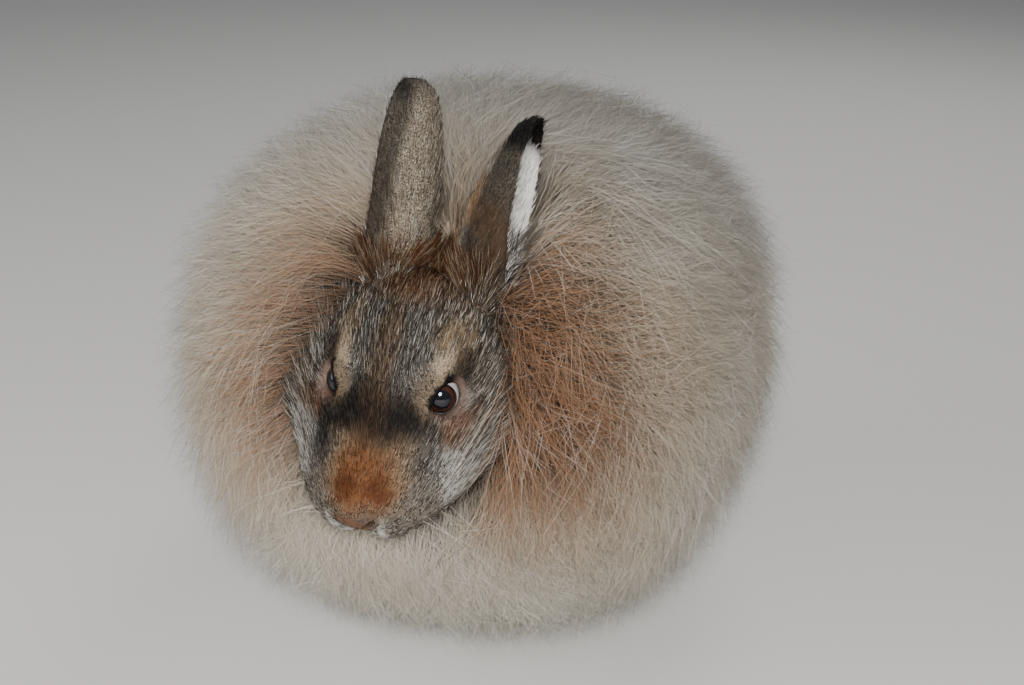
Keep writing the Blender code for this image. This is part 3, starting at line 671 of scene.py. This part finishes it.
# Eyes
# Each eye is a ball a little flatter than the socket, with a raised clear front, a maroon iris and a wide pupil.
# It is made apart from the head, as glass eyes are, and sits in the socket behind the lids.
CORNEA_RISE = 0.0007
PUPIL_ANGLE, IRIS_ANGLE = math.radians(27), math.radians(41)
GAZE_INWARD = math.radians(20)
for side, name in ((1, "eye_left"), (-1, "eye_right")):
    form = bmesh.new()
    bmesh.ops.create_uvsphere(form, u_segments=64, v_segments=48, radius=1.0)

    def eye_form(ball):
        front = soft_step(0.60, 1.0, ball[:, 2])
        return ball * (EYE_RADIUS - 0.0002 + CORNEA_RISE * front)[:, None]

    shape_by(form, eye_form)
    gaze = Matrix.Translation(Vector(eye_centres[side])) @ eye_turn(side)
    bmesh.ops.transform(form, matrix=gaze, verts=form.verts)
    eye = object_of(name + "_ball", form)
    eye.data.shade_smooth()
    finish, dye, shader = new_finish(name + "_gloss")
    place = dye.node("ShaderNodeTexCoord", {}, {}, 3)
    way = dye.vector("NORMALIZE", dye.vector("SUBTRACT", place, tuple(eye_centres[side])))
    out_of_eye = gaze.to_3x3() @ Vector((0, 0, 1))
    to_nose = (Vector((-side, 0, 0)) + out_of_eye * out_of_eye.dot((side, 0, 0))).normalized()
    ahead = tuple(out_of_eye * math.cos(GAZE_INWARD) + to_nose * math.sin(GAZE_INWARD))
    turn_off = way.along(ahead).maths("ARCCOSINE", way.along(ahead))
    streaks = place.mottle(900.0, 2.0)
    iris = streaks.mix((0.022, 0.007, 0.006), (0.060, 0.020, 0.012))
    colour = turn_off.step(PUPIL_ANGLE - 0.06, PUPIL_ANGLE + 0.06).mix((0.003, 0.004, 0.007), iris)
    colour = turn_off.step(IRIS_ANGLE - 0.12, IRIS_ANGLE).mix(colour, (0.012, 0.006, 0.005))
    colour = turn_off.step(IRIS_ANGLE + 0.04, IRIS_ANGLE + 0.16).mix(colour, (0.56, 0.55, 0.56))
    dye.tree.links.new(colour.socket, shader.inputs["Base Color"])
    shader.inputs["Roughness"].default_value = 0.08
    shader.inputs["Specular IOR Level"].default_value = 0.35
    shader.inputs["Coat Weight"].default_value = 0.5
    shader.inputs["Coat Roughness"].default_value = 0.03
    eye.data.materials.append(finish)
    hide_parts(name)
    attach(eye, "root")


# Wool
# The coat is fine, slightly waved wool, about 45 mm deep, that lies away from the face and down over the sides.
# Its hairs gather in soft wisps, and a few stand out past the rest. Each piece is one part of the coat.
WOOL_HAIRS = 94000
WISP_COUNT = 2400
WOOL_LEAN = (math.radians(5), math.radians(15))
WOOL_STATIONS = np.array((0.0, 0.64, 1.0))
HAIR_WIDTH = np.array((0.00009, 0.00010))
STRAY_SHARE = 0.06
PIECE_WAYS = {
    "chest": (0, -0.90, -0.45), "belly": (0, 0.1, -1.0), "crown": (0, -0.35, 1.0), "rump": (0, 1.0, -0.1),
    "left_flank": (1, 0.35, -0.15), "right_flank": (-1, 0.35, -0.15),
    "left_cheek": (0.80, -0.75, 0.25), "right_cheek": (-0.80, -0.75, 0.25), "back": (0, 0.72, 0.80),
}
chance = np.random.default_rng(11)


def hair_piece(name, paths, widths, aside, unwrap, finish, roots=None, ticks=None):
    """Joins tapered three-sided hairs into one closed-hair mesh.

    paths holds each hair's points from root to tip. unwrap gives each root's place on the skin's flat pattern.
    """
    count, rings = paths.shape[0], paths.shape[1] - 1
    ahead = unit(np.gradient(paths, axis=1))
    across = unit(aside[:, None, :] - ahead * (aside[:, None, :] * ahead).sum(-1, keepdims=True))
    deep = np.cross(ahead, across)
    angles = np.arange(3) * 2 * math.pi / 3
    ring = (
        across[:, :rings, None, :] * np.cos(angles)[:, None] + deep[:, :rings, None, :] * np.sin(angles)[:, None]
    )
    body = paths[:, :rings, None, :] + ring * widths[..., None, None]
    per_hair = rings * 3 + 1
    spots = np.concatenate([body.reshape(count, rings * 3, 3), paths[:, -1:, :]], axis=1)
    spots[..., 2] = np.maximum(spots[..., 2], SOLE_LEVEL)
    faces = [(2, 1, 0)]
    for low in range(0, rings * 3 - 3, 3):
        for k in range(3):
            a, b = low + k, low + (k + 1) % 3
            faces += [(a, b, b + 3), (a, b + 3, a + 3)]
    top = rings * 3 - 3
    faces += [(top + k, top + (k + 1) % 3, per_hair - 1) for k in range(3)]
    faces = np.array(faces)
    corners = (faces[None] + (np.arange(count) * per_hair)[:, None, None]).reshape(-1)
    mesh = bpy.data.meshes.new(name)
    mesh.vertices.add(count * per_hair)
    mesh.vertices.foreach_set("co", spots.reshape(-1).astype(np.float32))
    mesh.loops.add(len(corners))
    mesh.loops.foreach_set("vertex_index", corners.astype(np.int32))
    mesh.polygons.add(len(corners) // 3)
    mesh.polygons.foreach_set("loop_start", np.arange(0, len(corners), 3, dtype=np.int32))
    mesh.update(calc_edges=True)
    roots = paths[:, 0] if roots is None else roots
    ticks = chance.random(count) if ticks is None else ticks
    root = mesh.attributes.new("root", "FLOAT_VECTOR", "POINT")
    root.data.foreach_set("vector", np.repeat(roots, per_hair, axis=0).reshape(-1).astype(np.float32))
    tick = mesh.attributes.new("tick", "FLOAT", "POINT")
    tick.data.foreach_set("value", np.repeat(ticks, per_hair).astype(np.float32))
    rise = np.concatenate([np.repeat(np.linspace(0, 1, rings + 1)[:-1], 3), [1.0]])
    length = mesh.attributes.new("along", "FLOAT", "POINT")
    length.data.foreach_set("value", np.tile(rise, count).astype(np.float32))
    low, high = unwrap.min(0), unwrap.max(0)
    flat = 0.01 + 0.98 * (unwrap - low) / (high - low)
    patch = np.stack([np.concatenate([np.tile([0.0, 0.5, 1.0], rings), [0.5]]), rise], axis=-1) - 0.5
    uv = (flat[:, None, :] + 0.003 * patch[None]).reshape(-1, 2)[corners]
    mesh.uv_layers.new(name="OFBake").data.foreach_set("uv", uv.reshape(-1).astype(np.float32))
    mesh.shade_smooth()
    mesh.materials.append(finish)
    obj = bpy.data.objects.new(name, mesh)
    bpy.context.scene.collection.objects.link(obj)
    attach(obj, "root")
    return obj


def hair_finish(name, colour_rule, painted_root_shade=0.15):
    """A hair's finish: its colour comes from where its root is, and painted shade darkens it towards the root."""
    finish, dye, shader = new_finish(name)
    place = dye.node("ShaderNodeAttribute", {"attribute_name": "root"}, {}, 1)
    tick = dye.node("ShaderNodeAttribute", {"attribute_name": "tick"}, {}, 2)
    rise = dye.node("ShaderNodeAttribute", {"attribute_name": "along"}, {}, 2)
    colour = colour_rule(dye, place, tick)
    # Painted shade: each hair darkens to a grey brown towards its root, standing for the shade deep in the coat.
    colour = (rise.step(0.75, 0.05) * painted_root_shade).mix(colour, (0.18, 0.15, 0.125))
    dye.tree.links.new(colour.socket, shader.inputs["Base Color"])
    return finish


def lie_from_face(ways):
    """The lie of the wool: away from the face over the body, and down at the sides."""
    lie = -PARTING_AXIS + ways * (ways @ PARTING_AXIS)[..., None]
    down = np.array((0.0, 0.0, -1.0))
    down = down - ways * (ways @ down)[..., None]
    return unit(unit(lie) + 0.55 * down)


def waves(ways, scale, seeds):
    """A smooth wavering value over the coat, about -1 to 1."""
    total = np.zeros(ways.shape[:-1])
    for seed in range(seeds):
        turn = np.random.default_rng(300 + seed + int(scale)).normal(size=3)
        total += np.sin(ways @ unit(turn) * scale + seed * 2.1)
    return total / math.sqrt(seeds)


ways = unit(chance.normal(size=(WOOL_HAIRS, 3)))
wisps = unit(chance.normal(size=(WISP_COUNT, 3)))
tree = kdtree.KDTree(WISP_COUNT)
for index, wisp in enumerate(wisps):
    tree.insert(wisp, index)
tree.balance()
nearest = np.array([tree.find(way)[1] for way in ways])


def tips_of(starts, lean, sway):
    lie = lie_from_face(starts)
    aside = np.cross(starts, lie)
    return unit(starts + lie * np.tan(lean)[:, None] + aside * np.tan(sway)[:, None])


wisp_lean = WOOL_LEAN[0] + (WOOL_LEAN[1] - WOOL_LEAN[0]) * chance.random(WISP_COUNT)
wisp_sway = math.radians(9) * waves(wisps, 9.0, 5) + math.radians(7) * chance.normal(size=WISP_COUNT)
wisp_tips = tips_of(wisps, wisp_lean, wisp_sway)
wisp_length = 0.965 + 0.016 * waves(wisps, 7.0, 5) + 0.018 * chance.normal(size=WISP_COUNT)
own_lean = chance.uniform(*WOOL_LEAN, WOOL_HAIRS) + math.radians(12) * chance.normal(size=WOOL_HAIRS)
own_tips = tips_of(ways, own_lean, math.radians(16) * chance.normal(size=WOOL_HAIRS))
gather = chance.uniform(0.20, 0.80, WOOL_HAIRS)
stray = chance.random(WOOL_HAIRS) < STRAY_SHARE
gather[stray] *= 0.15
tips = unit(own_tips * (1 - gather)[:, None] + wisp_tips[nearest] * gather[:, None])
reach = wisp_length[nearest] + 0.024 * chance.normal(size=WOOL_HAIRS)
reach = np.where(stray, reach + chance.uniform(0.0, 0.06, WOOL_HAIRS), reach)
reach = np.clip(reach, 0.80, 1.055)
lie = lie_from_face(ways)
aside = np.cross(ways, lie)
start = coat_reach(ways) * (SKIN_SHARE - 0.004)
end = coat_reach(tips) * reach
phase = chance.uniform(0, 2 * math.pi, WISP_COUNT)[nearest] + 0.9 * chance.normal(size=WOOL_HAIRS)
turns = chance.uniform(1.4, 2.4, WOOL_HAIRS)
paths = []
for t in WOOL_STATIONS:
    way = unit(ways + (tips - ways) * t**1.9)
    reach_here = start + (end - start) * t**0.85
    wave = 0.0036 * t * np.sin(2 * math.pi * turns * t + phase)
    ripple = 0.0020 * t * np.sin(2 * math.pi * turns * 1.3 * t + 1.7 * phase)
    spot = body_origin + COAT_CENTRE + way * (reach_here + ripple)[:, None] + aside * wave[:, None]
    paths.append(spot)
paths = np.stack(paths, axis=1)

HEAD_CLEARANCE = 0.0015
EAR_CLEARANCE = 0.0015
VEIL_WAY = unit(np.array((0.3, -0.95, 0.3)))
blocked = np.zeros(WOOL_HAIRS, bool)
for k in range(1, len(WOOL_STATIONS)):
    for blend in (0.0, 0.5):
        spots = paths[:, k] * (1 - blend) + paths[:, k - 1] * blend
        along, above, out = head_measures(spots)
        half = smooth_curve(HEAD_STATIONS, HEAD_HALF_WIDTH, along) + HEAD_CLEARANCE
        floor_of_face = smooth_curve(HEAD_STATIONS, HEAD_MIDDLE, along) - 0.55 * half
        in_head = (along > -0.016) & (along < 0.110) & (np.abs(out) < half) & (above > floor_of_face)
        blocked |= in_head
        for name in ("left", "right"):
            root, tip, opens, wide = ear_frame(name)
            t = np.clip((spots - root) @ (tip - root) / ((tip - root) @ (tip - root)), -0.1, 1.0)
            bend = opens * (EAR_BEND * np.sin(math.pi * np.clip(t, 0, 1)))[:, None]
            apart = spots - (root + (tip - root) * t[:, None] - bend)
            forward, sideways = apart @ opens, np.abs(apart @ wide)
            half = smooth_curve(EAR_STATIONS, EAR_HALF_WIDTH, t) * EAR_SPREAD[name]
            curl = smooth_curve(EAR_STATIONS, EAR_CURL, t) * EAR_ROLL[name]
            radius = half / np.sin(np.minimum(curl, math.pi / 2))
            behind, mouth = -0.5 * radius - 0.0025, (0.5 - np.cos(curl)) * radius + 0.004
            blocked |= (sideways < half + EAR_CLEARANCE) & (forward > behind) & (forward < mouth) & (t > 0.02)
            ahead = apart @ VEIL_WAY
            beside = np.linalg.norm(np.cross(apart, VEIL_WAY), axis=1) < half * 0.9
            blocked |= (ahead > 0) & (ahead < 0.035) & beside & (t > 0.08) & (t < 1.0)

piece_ways = unit(np.array(list(PIECE_WAYS.values()), float))
piece_of = (ways @ piece_ways.T).argmax(1)
wool_finish = hair_finish("wool_hair", wool_colour)
wool_ticks = 0.55 * chance.random(WISP_COUNT)[nearest] + 0.45 * chance.random(WOOL_HAIRS)
for index, name in enumerate(PIECE_WAYS):
    mine = (piece_of == index) & ~blocked
    frame_axis = Vector(piece_ways[index]).to_track_quat("Z", "Y").to_matrix().transposed()
    local = ways[mine] @ np.array(frame_axis).T
    flat = local[:, :2] / np.sqrt(1 + np.maximum(local[:, 2:3], -0.9))
    width = HAIR_WIDTH[None] * chance.uniform(0.75, 1.25, (mine.sum(), 1))
    piece = hair_piece("wool_" + name, paths[mine], width, aside[mine], flat, wool_finish, ticks=wool_ticks[mine])
    print("wool", name, int(mine.sum()), len(piece.data.polygons))
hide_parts("neck", "torso", "tail")


# Short fur
# Face, ears and feet carry short, close fur that lies back from the nose, up the ears and down the feet. It is rooted
# in the hide, and the longest of it stands on the cheeks and at the roots of the ears.
FACE_HAIRS, EAR_HAIRS, FOOT_HAIRS = 31000, 11000, 3500
SHORT_STATIONS = np.array((0.0, 0.55, 1.0))


def rooted(count, zone):
    """Random roots on the hide within a zone, evenly spread, and the way the hide faces there."""
    triangles = corner_spots[hide_faces]
    inside = zone(triangles.mean(1))
    faces, triangles = hide_faces[inside], triangles[inside]
    area = np.linalg.norm(np.cross(triangles[:, 1] - triangles[:, 0], triangles[:, 2] - triangles[:, 0]), axis=1)
    picked = chance.choice(len(faces), count, p=area / area.sum())
    a, b = chance.random((2, count))
    flip = a + b > 1
    a[flip], b[flip] = 1 - a[flip], 1 - b[flip]
    weights = np.stack([1 - a - b, a, b], axis=1)[..., None]
    return (triangles[picked] * weights).sum(1), unit((corner_ways[faces[picked]] * weights).sum(1))


def laid_hair(roots, outward, flow, length, lift):
    """Short hairs that rise from their roots and lie over along a flow."""
    lie = unit(flow - outward * (flow * outward).sum(-1, keepdims=True))
    paths = []
    for t in SHORT_STATIONS:
        bend = lie * (t * np.cos(lift))[:, None] + outward * (t * np.sin(lift) * (1.35 - 0.45 * t))[:, None]
        paths.append(roots - outward * 0.0003 + bend * length[:, None])
    return np.stack(paths, axis=1), np.cross(outward, lie)


def face_zone(spots):
    along, above, out = head_measures(spots)
    half = np.maximum(smooth_curve(HEAD_STATIONS, HEAD_HALF_WIDTH, along), 0.030 * (along > 0.10))
    near = np.min([np.linalg.norm(spots - c, axis=1) for c in eye_centres.values()], axis=0)
    surface = smooth_curve(HEAD_STATIONS, HEAD_MIDDLE, along)
    return (
        (along < 0.138) & (np.abs(out) < half + 0.004) & (above > surface - 0.034) & (above < 0.034)
        & (near > EYE_RADIUS + 0.0015) & (spots[:, 2] < nose_tip[2] + 0.096) & (along > -0.002)
        & (spots[:, 1] < nose_tip[1] + 0.112)
    )


roots, outward = rooted(FACE_HAIRS, face_zone)
along, above, out = head_measures(roots)
flow = HEAD_AXIS + 0.35 * unit(roots - head_place(0.0, -0.004, 0.0)) + 0.12 * chance.normal(size=roots.shape)
near_eye = np.full(FACE_HAIRS, np.inf)
for side, centre in eye_centres.items():
    look_out = np.array(eye_turn(side).to_3x3() @ Vector((0, 0, 1)))
    apart = roots - centre
    near = np.linalg.norm(apart, axis=1)
    aside_of_eye = unit(apart - (apart @ look_out)[:, None] * look_out)
    flow += aside_of_eye * (2.2 * soft_step(EYE_RADIUS + 0.010, EYE_RADIUS + 0.001, near))[:, None]
    near_eye = np.minimum(near_eye, near)
cheek = soft_step(0.022, 0.040, np.abs(out)) * soft_step(0.020, 0.060, along) * soft_step(0.006, -0.008, above)
nape = soft_step(0.098, 0.116, along)
length = 0.0030 + 0.0030 * soft_step(0.004, 0.060, along) + 0.0110 * cheek + 0.007 * nape
full = cheek * (out < 0)
length = (length + 0.005 * full) * chance.uniform(0.7, 1.3, FACE_HAIRS)
lift = np.radians(13 + 15 * cheek + 10 * full + 3 * nape) * chance.uniform(0.5, 1.5, FACE_HAIRS)
length *= 0.35 + 0.65 * soft_step(EYE_RADIUS + 0.002, EYE_RADIUS + 0.010, near_eye)
length *= 0.45 + 0.55 * soft_step(0.004, 0.012, np.linalg.norm(roots - nose_tip, axis=1))
paths, aside = laid_hair(roots, outward, flow, length, lift)
slim = np.array((0.00016, 0.00015))
widths = slim[None] * (0.75 + 0.25 * cheek + chance.uniform(-0.15, 0.25, FACE_HAIRS))[:, None]
face_finish = hair_finish("face_hair", face_colour, 0.25)
turn_round = np.arctan2(out, above - smooth_curve(HEAD_STATIONS, HEAD_MIDDLE, along))
flat = np.stack([turn_round, along], axis=1)
for name, mine in (("face_fur_left", out >= 0), ("face_fur_right", out < 0)):
    piece = hair_piece(name, paths[mine], widths[mine], aside[mine], flat[mine], face_finish)
    print(name, len(piece.data.polygons))


def ear_zone(spots):
    near = np.zeros(len(spots), bool)
    for name in ("left", "right"):
        root, tip, opens, wide = ear_frame(name)
        t = (spots - root) @ (tip - root) / ((tip - root) @ (tip - root))
        axis_spot = root + (tip - root) * np.clip(t, 0, 1)[:, None]
        reach_here = smooth_curve(EAR_STATIONS, EAR_HALF_WIDTH, t) * EAR_SPREAD[name] + 0.006
        near |= (np.linalg.norm(spots - axis_spot, axis=1) < reach_here) & (t > 0.06)
    return near & (spots[:, 2] > body_origin[2] + 0.180)


roots, outward = rooted(EAR_HAIRS, ear_zone)
flow = np.zeros_like(roots)
rises = np.zeros(EAR_HAIRS)
is_left = roots[:, 0] > body_origin[0] + 0.006
inside = ear_lining(roots, outward)
for name, mine in (("left", is_left), ("right", ~is_left)):
    root, tip, opens, wide = ear_frame(name)
    flow[mine] = unit(tip - root) + 0.12 * opens
    rises[mine] = (roots[mine] - root) @ (tip - root) / ((tip - root) @ (tip - root))
flow += 0.10 * chance.normal(size=roots.shape)
length = (0.0034 + 0.0040 * (1 - rises) + 0.003 * inside * (1 - rises)) * chance.uniform(0.6, 1.3, EAR_HAIRS)
lift = np.radians(13) * chance.uniform(0.5, 1.5, EAR_HAIRS)
paths, aside = laid_hair(roots, outward, flow, length, lift)
widths = slim[None] * chance.uniform(0.7, 1.1, (EAR_HAIRS, 1))
turn_round = np.arctan2(outward[:, 0], outward[:, 1]) + 8.0 * is_left


def ear_hair_colour(dye, place, tick):
    lining = dye.node("ShaderNodeAttribute", {"attribute_name": "lining"}, {}, 2)
    return ear_colour(dye, place, tick, lining)[0]


ear_finish = hair_finish("ear_hair", ear_hair_colour, 0.25)
piece = hair_piece("ear_fur", paths, widths, aside, np.stack([turn_round, rises], axis=1), ear_finish)
lining = piece.data.attributes.new("lining", "FLOAT", "POINT")
lining.data.foreach_set("value", np.repeat(inside, 7).astype(np.float32))


def foot_zone(spots):
    low = spots - body_origin
    beside = np.abs(low[:, 0])
    hind = (np.abs(beside - HINDFOOT[0]) < 0.022) & (np.abs(low[:, 1] - HINDFOOT[1]) < 0.056)
    fore = (np.abs(beside - FOREPAW[0]) < 0.018) & (np.abs(low[:, 1] - FOREPAW[1]) < 0.034)
    return (hind | fore) & (low[:, 2] < 0.032) & (low[:, 2] > 0.0015)


roots, outward = rooted(FOOT_HAIRS, foot_zone)
flow = np.array((0.0, -0.8, -0.6)) + 0.15 * chance.normal(size=roots.shape)
length = 0.0065 * chance.uniform(0.6, 1.3, FOOT_HAIRS)
paths, aside = laid_hair(roots, outward, flow, length, np.radians(28) * np.ones(FOOT_HAIRS))
foot_finish = hair_finish("foot_hair", lambda dye, place, tick: tick.step(-0.4, 0.8).mix((0.40, 0.33, 0.25), WOOL_CREAM), 0.0)
widths = slim[None] * chance.uniform(0.9, 1.3, (FOOT_HAIRS, 1))
piece = hair_piece("foot_fur", paths, widths, aside, roots[:, :2], foot_finish)


# Whiskers
# Stiff, pale, tapered hairs that grow from the pads beside the nose and bend back and down.
WHISKERS_A_SIDE = 9
WHISKER_STATIONS = np.linspace(0, 1, 8)
count = 2 * WHISKERS_A_SIDE
sides = np.repeat((1.0, -1.0), WHISKERS_A_SIDE)
along = chance.uniform(0.006, 0.022, count)
drop = chance.uniform(0.002, 0.013, count)
half = smooth_curve(HEAD_STATIONS, HEAD_HALF_WIDTH, along)
roots = head_place(along, -drop - 0.004, sides * half * 0.93)
outward = np.stack([sides * 0.9, -0.25 + 0.3 * chance.normal(size=count), -0.25 * np.ones(count)], axis=1)
length = chance.uniform(0.030, 0.062, count)
paths = []
for t in WHISKER_STATIONS:
    sag = np.array((0.0, 0.35, -0.30)) * t * t
    paths.append(roots + (unit(outward) * t + sag) * length[:, None])
paths = np.stack(paths, axis=1)
widths = 0.00009 * (1 - 0.8 * WHISKER_STATIONS[:-1])[None] * np.ones((count, 1))
finish = hair_finish("whisker_hair", lambda dye, place, tick: tick.mix(CREAM_HAIR, WHITE_HAIR), 0.0)
piece = hair_piece("whiskers", paths, widths, np.tile((0.0, 0.0, 1.0), (count, 1)), np.stack([sides * 0.4 + along, drop], 1), finish)


# Floor, lights and camera
# A plain pale floor under soft studio light, seen from the photo's angle, about 23 degrees down.
form = bmesh.new()
bmesh.ops.create_grid(form, x_segments=2, y_segments=2, size=4.0)
mesh = bpy.data.meshes.new("floor")
form.to_mesh(mesh)
form.free()
floor = bpy.data.objects.new("floor", mesh)
bpy.context.scene.collection.objects.link(floor)
paint = bpy.data.materials.new("pale_floor")
paint.use_nodes = True
paint.node_tree.nodes["Principled BSDF"].inputs["Base Color"].default_value = (0.72, 0.71, 0.69, 1)
paint.node_tree.nodes["Principled BSDF"].inputs["Roughness"].default_value = 0.8
mesh.materials.append(paint)


def softbox(name, place, aim, size, power, colour):
    light = bpy.data.lights.new(name, "AREA")
    light.shape, light.size, light.energy, light.color = "DISK", size, power, colour
    obj = bpy.data.objects.new(name, light)
    obj.location = place
    obj.rotation_euler = (Vector(place) - Vector(aim)).to_track_quat("Z", "Y").to_euler()
    bpy.context.scene.collection.objects.link(obj)


AIM = (0.0, 0.0, 0.12)
softbox("key_light", (0.42, -1.15, 0.80), AIM, 0.45, 24.0, (1.0, 0.985, 0.96))
softbox("fill_light", (-1.3, -0.7, 0.8), AIM, 1.2, 8.0, (0.97, 0.98, 1.0))
softbox("rim_light", (0.2, 1.3, 1.3), AIM, 0.9, 7.0, (1.0, 0.99, 0.98))
world = bpy.data.worlds.new("studio")
bpy.context.scene.world = world
world.use_nodes = True
world.node_tree.nodes["Background"].inputs["Color"].default_value = (0.80, 0.82, 0.85, 1)
world.node_tree.nodes["Background"].inputs["Strength"].default_value = 0.26

FOCAL_PIXELS, IMAGE_WIDTH, SENSOR = 1330.0, 1024, 36.0
CAMERA_FROM_BODY = np.array((0.219, -0.617, 0.400))
CAMERA_YAW, CAMERA_PITCH, CAMERA_ROLL = math.radians(18.5), math.radians(22.8), math.radians(1.0)
lens = bpy.data.cameras.new("camera")
lens.sensor_width, lens.lens = SENSOR, FOCAL_PIXELS / IMAGE_WIDTH * SENSOR
lens.clip_start = 0.02
camera = bpy.data.objects.new("camera", lens)
camera.matrix_world = (
    Matrix.Translation(Vector(body_origin + CAMERA_FROM_BODY))
    @ Matrix.Rotation(CAMERA_YAW, 4, "Z")
    @ Matrix.Rotation(math.pi / 2 - CAMERA_PITCH, 4, "X")
    @ Matrix.Rotation(CAMERA_ROLL, 4, "Z")
)
bpy.context.scene.collection.objects.link(camera)
bpy.context.scene.camera = camera
